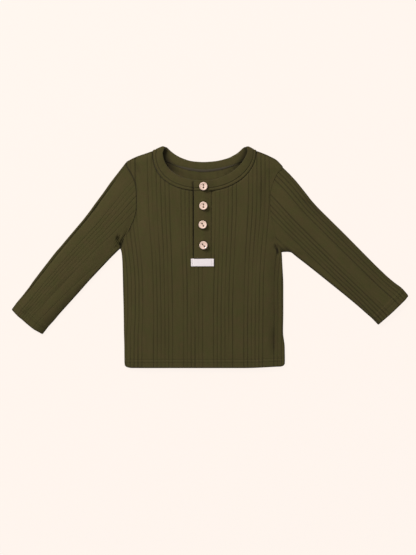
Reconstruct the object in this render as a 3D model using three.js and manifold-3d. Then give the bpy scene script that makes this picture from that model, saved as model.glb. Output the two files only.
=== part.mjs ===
import * as THREE from 'three';
import { mergeVertices } from 'three/addons/utils/BufferGeometryUtils.js';
import Module from 'manifold-3d';

// A baby's long-sleeved henley in ribbed knit, laid flat and face up. Millimetres, +Z up.
// X runs across the body, Y from the hem to the neck, and Z is 0 on the surface it lies on.
// Right and left are the wearer's, so the right sleeve lies towards -X.

const { lerp, smoothstep, degToRad } = THREE.MathUtils;

const knit = {
	wall: 1.2, // cloth thickness under a groove
	rib: 0.5, // height of a rib above its groove
	seam: 0.3, // two sewn pieces are this far apart
	puff: 1.2, // extra air between the layers away from their edges
	puffReach: 26, // distance from an edge at which the air is at its full height
	edge: 1, // width of the rounding along an edge
	hemFold: 0.3, // a turned hem is thicker by this
};

const ribs = {
	first: -116.4, // the first groove at the hem
	repeat: 40.35, // a group of grooves and the flat band after it
	groups: 6,
	perGroup: 6,
	pitch: 5.1, // groove to groove in a group
	width: 1.8, // a groove at its top
	centre: -3.5, // the grooves fan out from here
	fan: 0.11, // share by which they spread on the way up
	fanFrom: -44,
	fanTo: 77,
};

// One row for each section of the body from the hem up: its two edges, and what a hem adds to its thickness.
// The edges are the side seams up to the underarm, then the armholes, then the shoulders.
const bodySections = [
	{ y: -148.6, left: -105, right: 95, fold: -0.6 },
	{ y: -147.4, left: -110.6, right: 98.3, fold: 0.3 },
	{ y: -144.5, left: -113.4, right: 100, fold: 0.3 },
	{ y: -139.5, left: -113.8, right: 100.2, fold: 0.3 },
	{ y: -138.3, left: -113.8, right: 100.2, fold: 0 },
	{ y: -120, left: -114, right: 99.8, fold: 0 },
	{ y: -100, left: -114.8, right: 97.3, fold: 0 },
	{ y: -72, left: -115.4, right: 97.8, fold: 0 },
	{ y: -40, left: -116.1, right: 97.8, fold: 0 },
	{ y: -6, left: -117, right: 96.4, fold: 0 },
	{ y: 7.5, left: -118.4, right: 95.8, fold: 0 },
	{ y: 10.5, left: -119.5, right: 94.5, fold: 0 },
	{ y: 18, left: -116.5, right: 91, fold: 0 },
	{ y: 27, left: -112.5, right: 88.5, fold: 0 },
	{ y: 36.5, left: -107.9, right: 86.9, fold: 0 },
	{ y: 47, left: -103.3, right: 84.5, fold: 0 },
	{ y: 57, left: -99.6, right: 82.3, fold: 0 },
	{ y: 68, left: -98.1, right: 81.4, fold: 0 },
	{ y: 80, left: -98, right: 81.4, fold: 0 },
	{ y: 92, left: -98.5, right: 82.7, fold: 0 },
	{ y: 103.5, left: -101, right: 86.4, fold: 0 },
	{ y: 113, left: -105.8, right: 91.4, fold: 0 },
	{ y: 120, left: -109.8, right: 98.2, fold: 0 },
	{ y: 127, left: -112.2, right: 93.1, fold: 0 },
	{ y: 131, left: -106.2, right: 88.7, fold: 0 },
	{ y: 135, left: -97.8, right: 81.1, fold: 0 },
	{ y: 139, left: -86.2, right: 72.2, fold: 0 },
	{ y: 143, left: -74.8, right: 61.6, fold: 0 },
];
const hemRise = { height: 2.4, from: 40, to: 105, fadesBy: -105 }; // the hem lifts towards the left side seam
const panelStations = 9;
const neckCutPoints = 46;
const foldClearanceSlope = 0.8; // the panels lean away from the band's fold above the neck curve's ends

// Soft upright troughs in the front, where the cloth sinks between its seams
const troughs = [
	{ x: 87, from: -140, to: 26, width: 9, depth: 0.7 },
	{ x: -101, from: 6, to: 34, width: 7, depth: 0.4 },
];

// The four curves of the neckband. Each is a half oval hung from its top, squarer where the power is higher.
// The front's free edge leans in at its two tips. The back's hangs between them, and is given by its points.
const neck = {
	frontFree: {
		x: -5.4,
		top: 146.5,
		halfWidth: 56.6,
		depth: 43.5,
		rightPower: 2.4,
		leftPower: 1.8,
		tipIn: 3,
		tipUp: 1.7,
		tipReach: 11,
	},
	frontSeam: { x: -7, top: 141.2, halfWidth: 69, depth: 52.6, rightPower: 2.4, leftPower: 2 },
	backFree: {
		points: [
			{ x: -59, y: 148.2 },
			{ x: -57, y: 147 },
			{ x: -53.4, y: 143.4 },
			{ x: -48.8, y: 139.7 },
			{ x: -39, y: 134 },
			{ x: -32.5, y: 131.5 },
			{ x: -27, y: 129.9 },
			{ x: -19.5, y: 128.6 },
			{ x: -8.4, y: 128 },
			{ x: 2.3, y: 128.5 },
			{ x: 13.2, y: 129.9 },
			{ x: 23.1, y: 132.6 },
			{ x: 31.6, y: 136.6 },
			{ x: 38.5, y: 141.2 },
			{ x: 45.4, y: 147 },
			{ x: 48.2, y: 148.2 },
		],
	},
	backSeam: { x: -7, top: 141.2, halfWidth: 69, depth: 25.2, rightPower: 1.6, leftPower: 1.55 },
};

const band = {
	thickness: 1.9,
	backMiddle: 0.95,
	frontMiddle: 3.15,
	overlapLift: 2.2, // the left half crosses the placket above the right half
	leftEnd: 98.6, // angles along the neck curve, where 90 is its lowest point
	leftEndTurn: 4, // the left half's free edge runs on by this angle, so its end stands upright
	rightEnd: 86,
	liftFrom: 68,
	liftTo: 82,
	step: 8,
};

// Across the band from its free edge to its seam, with the stitched line between
const bandFace = [
	{ across: 0, height: 0.3 },
	{ across: 0.06, height: 0.95 },
	{ across: 0.4, height: 0.95 },
	{ across: 0.66, height: 0.9 },
	{ across: 0.71, height: 0.65 },
	{ across: 0.76, height: 0.9 },
	{ across: 0.95, height: 0.9 },
	{ across: 1, height: 0.3 },
];
const bandLining = [
	{ across: 0, height: -0.3 },
	{ across: 0.06, height: -0.95 },
	{ across: 0.95, height: -0.95 },
	{ across: 1, height: -0.3 },
];

const placket = {
	left: -21.4, // free edge of the upper strip
	right: 1.6, // seam of the upper strip
	underRight: -2.2, // edge of the strip below it
	top: 88,
	bottom: -2.3,
	thickness: 1.5,
};

const label = { left: -25.1, right: 5.5, top: -2.6, bottom: -12, thickness: 1 };

const button = {
	radius: 5.75,
	thickness: 2.2,
	bevel: 0.45,
	sides: 24,
	holeRadius: 0.95,
	holeSides: 6,
	holeSpacing: 3.7,
};

// One row for each button from the neck down. The turn is that of its two holes.
const buttons = [
	{ x: -8.5, y: 94.8, turn: 90 },
	{ x: -8.5, y: 68.7, turn: 90 },
	{ x: -9.4, y: 43.4, turn: 119 },
	{ x: -8.4, y: 15.8, turn: 135 },
];

// Each sleeve starts from its armhole, whose points are the body's own edge between the underarm and the tip
// of the shoulder. Grooves are given by their distance from the upper fold at the armhole.
const sleeves = {
	right_sleeve: {
		edge: 'left',
		turn: 1,
		underarm: 10.5,
		tip: 127,
		cuffCorner: new THREE.Vector2(-265.7, -70.1),
		cuffWidth: 53.2,
		flare: 0,
		grooves: [5, 23, 28.3, 33.6, 39, 44.3, 49.6, 65.5, 70.6, 75.7, 80.8],
		taper: 0.38,
		drift: 2,
		foldBow: [
			{ along: 0, inset: 0 },
			{ along: 34, inset: 0.2 },
			{ along: 58, inset: 1.1 },
			{ along: 88, inset: 1.8 },
			{ along: 118, inset: 0.9 },
			{ along: 154, inset: -0.7 },
			{ along: 190, inset: -0.6 },
			{ along: 214, inset: 0.1 },
			{ along: 250, inset: 0 },
		],
		underBow: [
			{ step: 0, inset: 0 },
			{ step: 0.07, inset: 1.4 },
			{ step: 0.18, inset: 1.8 },
			{ step: 0.42, inset: 1.9 },
			{ step: 0.75, inset: 1.1 },
			{ step: 1, inset: 0 },
		],
		cuffBulge: [
			{ share: 0, out: 0 },
			{ share: 0.15, out: 1.3 },
			{ share: 0.5, out: 2.3 },
			{ share: 0.8, out: 2.5 },
			{ share: 1, out: 0.6 },
		],
	},
	left_sleeve: {
		edge: 'right',
		turn: -1,
		underarm: 7.5,
		tip: 120,
		cuffCorner: new THREE.Vector2(265.7, -52),
		cuffWidth: 55.5,
		flare: 8.7,
		grooves: [4.5, 9, 14, 19.5, 37, 41.8, 46.6, 51.4, 56.2, 71, 76],
		taper: 0.06,
		drift: 0,
		foldBow: [
			{ along: 0, inset: 0 },
			{ along: 12, inset: -1.1 },
			{ along: 24, inset: -0.9 },
			{ along: 34, inset: 0 },
			{ along: 46, inset: 1.2 },
			{ along: 60, inset: 2.6 },
			{ along: 80, inset: 3.1 },
			{ along: 116, inset: 2.6 },
			{ along: 176, inset: 2.2 },
			{ along: 200, inset: 1.4 },
			{ along: 218, inset: -0.6 },
			{ along: 229, inset: -1.7 },
			{ along: 240, inset: 0 },
		],
		underBow: [{ step: 0, inset: 0 }, { step: 1, inset: 0 }],
		cuffBulge: [
			{ share: 0, out: 0.4 },
			{ share: 0.3, out: 1.3 },
			{ share: 0.5, out: 1.2 },
			{ share: 1, out: 0.2 },
		],
	},
};
const sleeveSteps = [0, 0.02, 0.07, 0.18, 0.32, 0.46, 0.6, 0.74, 0.88, 1]; // shares of the way to the hem
const cuffHem = 13;
const sleevePuffReach = 18;
const sleevePuffBy = 0.12; // share of the way to the cuff by which the air is at its full height
const underarmFlareLength = 0.07;

const colours = { cloth: '#474229', button: '#e0b594', label: '#f2eee8' };

// Meshes from chains of points

function link(key, x, y, z) {
	return { key, at: new THREE.Vector3(x, y, z) };
}

// Joins two chains whose points carry rising keys, so they may differ in number
function zip(first, second, faces) {
	let i = 0;
	let j = 0;
	while (i < first.length - 1 || j < second.length - 1) {
		const stepFirst = j === second.length - 1
			|| (i < first.length - 1 && first[i + 1].key <= second[j + 1].key);
		if (stepFirst) {
			faces.push([first[i], first[i + 1], second[j]]);
			i += 1;
		} else {
			faces.push([first[i], second[j + 1], second[j]]);
			j += 1;
		}
	}
}

function closeEdge(outer, inner, nextOuter, nextInner, faces) {
	faces.push([outer, nextOuter, nextInner], [outer, nextInner, inner]);
}

// A wall of cloth through its sections. Each has an outer and an inner chain, closed into loops in a tube.
function wall(sections, tube) {
	const faces = [];
	for (let i = 0; i < sections.length - 1; i++) {
		const [here, next] = [sections[i], sections[i + 1]];
		zip(here.outer, next.outer, faces);
		zip(next.inner, here.inner, faces);
		if (!tube) {
			closeEdge(here.outer[0], here.inner[0], next.outer[0], next.inner[0], faces);
			closeEdge(next.outer.at(-1), next.inner.at(-1), here.outer.at(-1), here.inner.at(-1), faces);
		}
	}
	zip(sections[0].inner, sections[0].outer, faces);
	zip(sections.at(-1).outer, sections.at(-1).inner, faces);
	return facesOut(faces);
}

function facesOut(faces) {
	const corners = faces.map((face) => face.map((corner) => corner.at));
	const volume = corners.reduce((sum, [a, b, c]) => sum + a.dot(b.clone().cross(c)), 0);
	const turned = volume < 0 ? corners.map(([a, b, c]) => [a, c, b]) : corners;
	const geometry = new THREE.BufferGeometry().setFromPoints(turned.flat());
	return mergeVertices(geometry);
}

const wasm = await Module();
wasm.setup();

function toManifold(geometry) {
	geometry.deleteAttribute('normal');
	geometry.deleteAttribute('uv');
	const merged = mergeVertices(geometry);
	return new wasm.Manifold(new wasm.Mesh({
		numProp: 3,
		vertProperties: merged.attributes.position.array,
		triVerts: new Uint32Array(merged.index.array),
	}));
}

function cut(geometry, cutters) {
	const solid = cutters.reduce((rest, cutter) => rest.subtract(toManifold(cutter)), toManifold(geometry));
	const mesh = solid.getMesh();
	const result = new THREE.BufferGeometry();
	result.setAttribute('position', new THREE.BufferAttribute(mesh.vertProperties, 3));
	result.setIndex(new THREE.BufferAttribute(mesh.triVerts, 1));
	return result;
}

function cutter(outline) {
	const height = 40;
	const geometry = new THREE.ExtrudeGeometry(new THREE.Shape(outline), { depth: height, bevelEnabled: false });
	return geometry.translate(0, 0, -height / 2);
}

// Reads a column from a table of rows at a place between two of them
function readTable(rows, place, column, value) {
	const next = rows.findIndex((row) => row[column] >= value);
	if (next <= 0) return rows[next < 0 ? rows.length - 1 : 0][place];
	const [low, high] = [rows[next - 1], rows[next]];
	return lerp(low[place], high[place], (value - low[column]) / (high[column] - low[column]));
}

function spread(from, to, count) {
	return Array.from({ length: count }, (_, i) => lerp(from, to, i / (count - 1)));
}

// Heights of the body's layers

function troughDepth(x, y) {
	return troughs.reduce((sum, { x: middle, from, to, width, depth }) => {
		const along = Math.sin(Math.PI * THREE.MathUtils.clamp((y - from) / (to - from), 0, 1));
		return sum + depth * along * Math.exp(-(((x - middle) / width) ** 2));
	}, 0);
}

function lift(x, y) {
	const left = readTable(bodySections, 'left', 'y', y);
	const right = readTable(bodySections, 'right', 'y', y);
	const inset = Math.min(x - left, right - x);
	const full = smoothstep(inset, 0, knit.puffReach);
	return full * (knit.puff - troughDepth(x, y));
}

function frontUnder(x, y) {
	return knit.wall + knit.seam + lift(x, y);
}

function frontTop(x, y) {
	return frontUnder(x, y) + knit.wall + knit.rib;
}

// Grooves of the ribbed knit

function fanAt(y) {
	return 1 + ribs.fan * smoothstep(y, ribs.fanFrom, ribs.fanTo);
}

function bodyGrooves() {
	const grooves = [];
	for (let group = 0; group < ribs.groups; group++) {
		for (let i = 0; i < ribs.perGroup; i++) {
			grooves.push(ribs.first + ribs.repeat * group + ribs.pitch * i);
		}
	}
	return grooves;
}

// The points of the grooves that fit between two places, as pairs of key and place with the depth of each
function groovePoints(grooves, toPlace, from, to) {
	const half = ribs.width / 2;
	return grooves.flatMap((groove) => {
		const middle = toPlace(groove);
		if (middle - half <= from + half || middle + half >= to - half) return [];
		return [
			{ key: groove - half, place: middle - half, depth: 0 },
			{ key: groove, place: middle, depth: knit.rib },
			{ key: groove + half, place: middle + half, depth: 0 },
		];
	});
}

// Body panels

function hemShift(x, y) {
	const fade = 1 - smoothstep(y, bodySections[0].y, hemRise.fadesBy);
	return hemRise.height * smoothstep(x, hemRise.from, hemRise.to) * fade;
}

function panelSection({ y, left, right, fold }, under, thickness, grooves) {
	const toPlace = (groove) => ribs.centre + (groove - ribs.centre) * fanAt(y);
	const toKey = (x) => ribs.centre + (x - ribs.centre) / fanAt(y);
	const at = (x, z, key = toKey(x)) => link(key, x, y + hemShift(x, y), z);
	const [start, end] = [left + knit.edge, right - knit.edge];
	const top = (x) => under(x, y) + thickness + fold;
	const middle = (x) => under(x, y) + (thickness + fold) / 2;
	const places = spread(start, end, panelStations);
	const inner = places.map((x) => at(x, under(x, y)));
	const ribbed = groovePoints(grooves, toPlace, start, end);
	const ribbedTop = [at(start, top(start)), ...ribbed.map(({ key, place, depth }) => {
		return at(place, top(place) - depth, key);
	}), at(end, top(end))];
	const plainTop = places.map((x) => at(x, top(x)));
	const face = grooves.length ? ribbedTop : plainTop;
	return { outer: [at(left, middle(left)), ...face, at(right, middle(right))], inner };
}

function panel(rows, under, thickness, ribbed) {
	const sections = rows.map((row, i) => {
		const plain = !ribbed || i === 0 || i === rows.length - 1;
		return panelSection(row, under, thickness, plain ? [] : bodyGrooves());
	});
	return wall(sections, false);
}

function frontPanel() {
	const whole = panel(bodySections, frontUnder, knit.wall + knit.rib, true);
	const [from, to] = [placket.left - knit.seam, placket.right + knit.seam];
	const bottom = placket.bottom - knit.seam;
	const opening = [
		new THREE.Vector2(from, bottom),
		new THREE.Vector2(to, bottom),
		new THREE.Vector2(to, neck.frontSeam.top),
		new THREE.Vector2(from, neck.frontSeam.top),
	];
	return cut(whole, [cutter(necklineCut(neck.frontSeam)), cutter(opening)]);
}

function backPanel() {
	return cut(panel(bodySections, () => 0, knit.wall, false), [cutter(necklineCut(neck.backSeam))]);
}

// Neck

function neckPoint(curve, angle) {
	const [cos, sin] = [Math.cos(degToRad(angle)), Math.sin(degToRad(angle))];
	if (curve.points) {
		const x = lerp(curve.points[0].x, curve.points.at(-1).x, (1 + cos) / 2);
		return new THREE.Vector2(x, readTable(curve.points, 'y', 'x', x));
	}
	const { x, top, halfWidth, depth, rightPower, leftPower, tipIn = 0, tipUp = 0, tipReach = 1 } = curve;
	const power = cos < 0 ? rightPower : leftPower;
	const acrossShare = Math.sign(cos) * Math.abs(cos) ** (2 / power);
	const tip = 1 - smoothstep(Math.min(angle, 180 - angle), 0, tipReach);
	const place = x + halfWidth * acrossShare - Math.sign(cos) * tipIn * tip;
	return new THREE.Vector2(place, top - depth * Math.abs(sin) ** (2 / power) + tipUp * tip);
}

function necklineCut(curve) {
	const wider = { ...curve, halfWidth: curve.halfWidth + knit.seam, depth: curve.depth + knit.seam };
	const outline = spread(180, 0, neckCutPoints).map((angle) => neckPoint(wider, angle));
	const [first, last] = [outline[0], outline.at(-1)];
	const rise = curve.halfWidth;
	const run = rise * foldClearanceSlope;
	outline.push(new THREE.Vector2(last.x + run, last.y + rise));
	outline.push(new THREE.Vector2(first.x - run, first.y + rise));
	return outline;
}

// A strip of band from its free edge to its seam. A tilt of 0 has its face up and a tilt of 180 has it down.
function bandSection(free, seam, middle, tilt) {
	const outward = new THREE.Vector2(-(seam.y - free.y), seam.x - free.x).normalize();
	if (outward.y < 0) outward.negate();
	const [sin, cos] = [Math.sin(degToRad(tilt)), Math.cos(degToRad(tilt))];
	const chain = (profile) => profile.map(({ across, height }) => {
		const foot = free.clone().lerp(seam, across).addScaledVector(outward, height * sin);
		return link(across, foot.x, foot.y, middle + height * cos);
	});
	return { outer: chain(bandFace), inner: chain(bandLining) };
}

function frontBandSection(angle, liftHeight, turn = 0) {
	const free = neckPoint(neck.frontFree, angle + turn);
	return bandSection(free, neckPoint(neck.frontSeam, angle), band.frontMiddle + liftHeight, 0);
}

function backBandSection(angle) {
	return bandSection(neckPoint(neck.backFree, angle), neckPoint(neck.backSeam, angle), band.backMiddle, 180);
}

// Where the band turns over at the side of the neck, on a half circle from the front to the back
function bandFold(angle, tilts) {
	const [free, seam] = [neckPoint(neck.frontFree, angle), neckPoint(neck.frontSeam, angle)];
	const radius = (band.frontMiddle - band.backMiddle) / 2;
	const outward = new THREE.Vector2(-(seam.y - free.y), seam.x - free.x).normalize();
	if (outward.y < 0) outward.negate();
	return tilts.map((tilt) => {
		const out = outward.clone().multiplyScalar(radius * Math.sin(degToRad(tilt)));
		const middle = band.backMiddle + radius * (1 + Math.cos(degToRad(tilt)));
		return bandSection(free.clone().add(out), seam.clone().add(out), middle, tilt);
	});
}

function neckband() {
	const { leftEnd, leftEndTurn, rightEnd, liftFrom, liftTo, overlapLift, step } = band;
	const leftAngles = spread(leftEnd, 0, Math.round(leftEnd / step) + 1);
	const rightAngles = spread(180, rightEnd, Math.round((180 - rightEnd) / step) + 1);
	const backAngles = spread(0, 180, Math.round(180 / step) + 1);
	const leftHalf = leftAngles.map((angle) => {
		const crossed = smoothstep(angle, liftFrom, liftTo);
		return frontBandSection(angle, overlapLift * crossed, leftEndTurn * smoothstep(angle, liftTo, leftEnd));
	});
	return wall([
		...leftHalf,
		...bandFold(0, [45, 90, 135]),
		...backAngles.map((angle) => backBandSection(angle)),
		...bandFold(180, [135, 90, 45]),
		...rightAngles.map((angle) => frontBandSection(angle, 0)),
	], false);
}

// Placket

function underPlacket() {
	const { left, underRight, top, bottom, thickness } = placket;
	const rows = spread(bottom, top, 4).map((y) => ({ y, left, right: underRight, fold: 0 }));
	return panel(rows, frontUnder, thickness, false);
}

// The upper strip lies on the under strip and comes down to the left front at its seam
function upperPlacket() {
	const { left, right, underRight, top, bottom, thickness } = placket;
	const sections = spread(bottom, top, 4).map((y) => {
		const at = (x, z) => link(x, x, y, z);
		const shelf = frontUnder(underRight, y) + thickness + knit.seam;
		const panelUnder = frontUnder(right, y);
		const panelTop = panelUnder + knit.wall + knit.rib;
		return {
			outer: [
				at(left, shelf + thickness / 2),
				at(left + knit.edge, shelf + thickness),
				at(lerp(left, underRight, 0.5), shelf + thickness),
				at(underRight + knit.edge, shelf + thickness),
				at(lerp(underRight, right, 0.7), shelf + thickness / 2),
				at(right, panelTop),
			],
			inner: [
				at(left + knit.edge / 2, shelf),
				at(lerp(left, underRight, 0.5), shelf),
				at(underRight + knit.seam, shelf),
				at(underRight + knit.edge, panelUnder + knit.rib),
				at(right - knit.seam, panelUnder),
			],
		};
	});
	return wall(sections, false);
}

// The label is made from the front's top, moved out by the seam gap
function bareLabel() {
	const { left, right, top, bottom, thickness } = label;
	const rows = spread(bottom, top, 3).map((y) => ({ y, left, right, fold: 0 }));
	return panel(rows, (x, y) => frontTop(x, y) + knit.seam, thickness, false);
}

// Buttons

function ringOf(radius, sides, centre) {
	return Array.from({ length: sides }, (_, i) => {
		const angle = (2 * Math.PI * i) / sides;
		return new THREE.Vector2(centre + radius * Math.cos(angle), radius * Math.sin(angle));
	});
}

function buttonGeometry() {
	const { radius, thickness, bevel, sides, holeRadius, holeSides, holeSpacing } = button;
	const shape = new THREE.Shape(ringOf(radius - bevel, sides, 0));
	for (const side of [-1, 1]) {
		shape.holes.push(new THREE.Path(ringOf(holeRadius, holeSides, (side * holeSpacing) / 2)));
	}
	const geometry = new THREE.ExtrudeGeometry(shape, {
		depth: thickness - 2 * bevel,
		bevelThickness: bevel,
		bevelSize: bevel,
		bevelSegments: 1,
	});
	geometry.deleteAttribute('normal');
	geometry.deleteAttribute('uv');
	return mergeVertices(geometry.translate(0, 0, bevel));
}

// Sleeves

// The armhole seen from the sleeve: how far each of its points is along the upper fold and across from it
function sleeveFrame({ edge, turn, underarm, tip, cuffCorner }) {
	const points = bodySections
		.filter(({ y }) => y >= underarm && y <= tip)
		.map((row) => new THREE.Vector2(row[edge] - turn * knit.seam, row.y));
	const origin = points.at(-1);
	const along = cuffCorner.clone().sub(origin);
	const length = along.length();
	along.normalize();
	const across = new THREE.Vector2(-along.y * turn, along.x * turn);
	const armhole = points.reverse().map((point) => {
		const offset = point.clone().sub(origin);
		return { across: offset.dot(across), along: offset.dot(along) };
	});
	return { origin, along, across, length, armhole };
}

function sleeveRing(sleeve, frame, step, distance, fold, ribbed) {
	const { cuffWidth, flare, grooves, taper, drift, foldBow, underBow, cuffBulge } = sleeve;
	const armholeWidth = frame.armhole.at(-1).across;
	const flared = flare * Math.max(0, 1 - step / underarmFlareLength);
	const width = lerp(armholeWidth - flare, cuffWidth, step) + flared - readTable(underBow, 'inset', 'step', step);
	const alongAt = (share) => {
		const start = readTable(frame.armhole, 'along', 'across', share * armholeWidth);
		const plain = distance ?? lerp(start, frame.length - cuffHem, step);
		return plain + step * readTable(cuffBulge, 'out', 'share', share);
	};
	const bow = readTable(foldBow, 'inset', 'along', alongAt(0));
	const toKey = (across) => (across + drift * step) / (1 - taper * step);
	const toPlace = (groove) => groove * (1 - taper * step) - drift * step;
	const at = (key, across, z) => {
		const share = across / width;
		const foot = frame.origin.clone()
			.addScaledVector(frame.along, alongAt(share))
			.addScaledVector(frame.across, across + bow * (1 - share));
		return link(key, foot.x, foot.y, z);
	};
	const air = (across) => {
		const inset = Math.min(across, width - across);
		return knit.seam + knit.puff * smoothstep(inset, 0, sleevePuffReach) * smoothstep(step, 0, sleevePuffBy);
	};
	const layer = knit.wall + knit.rib + fold;
	const top = (across) => knit.wall + air(across) + layer;
	const places = frame.armhole.slice(1, -1).map((row) => (row.across / armholeWidth) * width);
	const below = [...places].reverse();
	const underKey = (across) => -1 - across / width;
	const ribbedTop = groovePoints(grooves, toPlace, knit.edge, width - knit.edge).map((point) => {
		return at(point.key, point.place, top(point.place) - point.depth);
	});
	const plainTop = places.map((across) => at(toKey(across), across, top(across)));
	const [startKey, endKey] = [-3, toKey(width) + 1];
	const outerEdge = top(width) / 2;
	const lining = width - 2 * knit.edge;
	return {
		outer: [
			at(startKey, width, outerEdge),
			...below.map((across) => at(underKey(across), across, 0)),
			at(-1, 0, outerEdge),
			at(toKey(knit.edge), knit.edge, top(knit.edge)),
			...(ribbed ? ribbedTop : plainTop),
			at(toKey(width - knit.edge), width - knit.edge, top(width - knit.edge)),
			at(endKey, width, outerEdge),
		],
		inner: [
			at(startKey, lining, knit.wall + air(lining) / 2),
			...below.map((across) => at(underKey(across), across, knit.wall)),
			at(-1, 2 * knit.edge, knit.wall + air(knit.edge) / 2),
			...places.map((across) => at(toKey(across), across, knit.wall + air(across))),
			at(endKey, lining, knit.wall + air(lining) / 2),
		],
	};
}

function sleeveGeometry(sleeve) {
	const frame = sleeveFrame(sleeve);
	const rings = sleeveSteps.map((step) => sleeveRing(sleeve, frame, step, undefined, 0, step > 0));
	const hemRings = [
		{ distance: frame.length - cuffHem + knit.edge, fold: knit.hemFold, ribbed: true },
		{ distance: frame.length - knit.edge, fold: knit.hemFold, ribbed: true },
		{ distance: frame.length, fold: -knit.wall / 2, ribbed: false },
	];
	for (const { distance, fold, ribbed } of hemRings) {
		rings.push(sleeveRing(sleeve, frame, 1, distance, fold, ribbed));
	}
	return wall(rings, true);
}

// The garment

function piece(name, geometry, colour, roughness) {
	const material = new THREE.MeshStandardMaterial({ color: colour, roughness, metalness: 0 });
	const mesh = new THREE.Mesh(geometry, material);
	mesh.name = name;
	return mesh;
}

const henley = new THREE.Group();
henley.add(
	piece('back_panel', backPanel(), colours.cloth, 0.95),
	piece('front_panel', frontPanel(), colours.cloth, 0.95),
	piece('neckband', neckband(), colours.cloth, 0.95),
	piece('under_placket', underPlacket(), colours.cloth, 0.95),
	piece('upper_placket', upperPlacket(), colours.cloth, 0.95),
	piece('label', bareLabel(), colours.label, 0.8),
);
for (const [name, sleeve] of Object.entries(sleeves)) {
	henley.add(piece(name, sleeveGeometry(sleeve), colours.cloth, 0.95));
}
buttons.forEach(({ x, y, turn }, i) => {
	const mesh = piece(`button_${i + 1}`, buttonGeometry(), colours.button, 0.5);
	const bandTop = band.frontMiddle + band.overlapLift + band.thickness / 2;
	const stripTop = frontUnder(placket.underRight, y) + 2 * placket.thickness + knit.seam;
	mesh.position.set(x, y, (y > placket.top ? bandTop : stripTop) + knit.seam);
	mesh.rotation.z = degToRad(turn);
	henley.add(mesh);
});

export default henley;
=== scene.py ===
import bisect
import math

import bmesh
import bpy
from mathutils import Matrix, Vector, noise


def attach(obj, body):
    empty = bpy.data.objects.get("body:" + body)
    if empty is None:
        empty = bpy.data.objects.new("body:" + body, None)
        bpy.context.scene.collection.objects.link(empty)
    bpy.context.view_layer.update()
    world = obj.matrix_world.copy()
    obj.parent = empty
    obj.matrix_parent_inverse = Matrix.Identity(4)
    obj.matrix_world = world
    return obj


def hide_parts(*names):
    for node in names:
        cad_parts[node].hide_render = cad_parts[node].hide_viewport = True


# A baby's long-sleeved henley in ribbed knit, laid flat and seen from straight above.
# Tables and helpers work in millimetres. Right and left are the wearer's.

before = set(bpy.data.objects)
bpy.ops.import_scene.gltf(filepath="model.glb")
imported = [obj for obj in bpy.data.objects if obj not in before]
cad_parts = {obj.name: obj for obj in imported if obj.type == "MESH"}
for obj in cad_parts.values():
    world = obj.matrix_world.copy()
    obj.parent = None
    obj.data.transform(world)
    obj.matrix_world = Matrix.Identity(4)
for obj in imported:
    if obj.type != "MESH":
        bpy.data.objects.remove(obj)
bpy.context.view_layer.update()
mm = 0.001

# Sizes that the pieces share

knit = {"wall": 1.2, "rib": 0.5, "seam": 0.3, "puff": 1.2, "puffReach": 26, "rim": 0.85, "chest": 214}
sewing = {"length": 2.1, "gap": 0.5, "width": 0.42, "height": 0.3}

ribs = {
    "first": -116.4,
    "repeat": 40.35,
    "groups": 6,
    "perGroup": 6,
    "pitch": 5.1,
    "halfWidth": 0.85,
    "shadeHalfWidth": 1.7,
    "centre": -3.5,
    "fan": 0.11,
    "fanFrom": -44,
    "fanTo": 77,
    "sway": 0.3,
}
# Ribs aren't ruled lines. Each row gives how far the six groups stray at a height.
strayPlaces = [-103, -63, -23, 17, 58, 98]
strayRows = [
    (-149, [0, 1.2, 1, 0.8, 0.8, 0.8]),
    (-113, [0, 1.3, 1, 0.8, 0.8, 0.8]),
    (-77, [1.6, 1, 0.8, 0.8, 1, 1.3]),
    (-37, [1.8, 0.4, 0.6, 1.5, 1.6, 1]),
    (23, [2.2, 2.1, 0, 2.5, 1.1, 1]),
    (63, [2, 2.5, 0.6, 3, 1.5, 1]),
    (102, [1, 1.4, 0.6, 2.8, 2, 1]),
    (143, [0.6, 1, 0.6, 2, 1.6, 1]),
]
grooveOffsets = [-1.5, -0.85, -0.4, 0, 0.4, 0.85, 1.5]

# The body's two edges from the hem up: y, left edge, right edge
bodyRows = [
    (-148.6, -105.5, 95.5),
    (-147.4, -111.2, 98.9),
    (-144.5, -114, 100.6),
    (-139.5, -114.4, 100.8),
    (-120, -114.6, 100.5),
    (-100, -115.1, 98.3),
    (-72, -115.5, 98.7),
    (-40, -116.3, 98.7),
    (-6, -117.2, 97.2),
    (7.5, -118.5, 96.4),
    (10.5, -119.5, 95),
    (18, -118.5, 91),
    (27, -115.4, 88.5),
    (36.5, -108.3, 86.9),
    (47, -103.4, 84.5),
    (57, -99.6, 82.3),
    (68, -98.1, 81.4),
    (80, -98, 81.4),
    (92, -98.5, 82.7),
    (103.5, -101, 86.4),
    (113, -105.8, 91.4),
    (120, -109.8, 98.2),
    (127, -112.2, 93.1),
    (131, -106.2, 88.7),
    (135, -97.8, 81.1),
    (139, -86.2, 72.2),
    (143, -74.8, 61.6),
]
hem = {"y": -148.6, "rise": 2.1, "riseFrom": 46, "riseTo": 105, "fadesBy": -105, "fold": 0.3, "top": -139}

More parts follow.
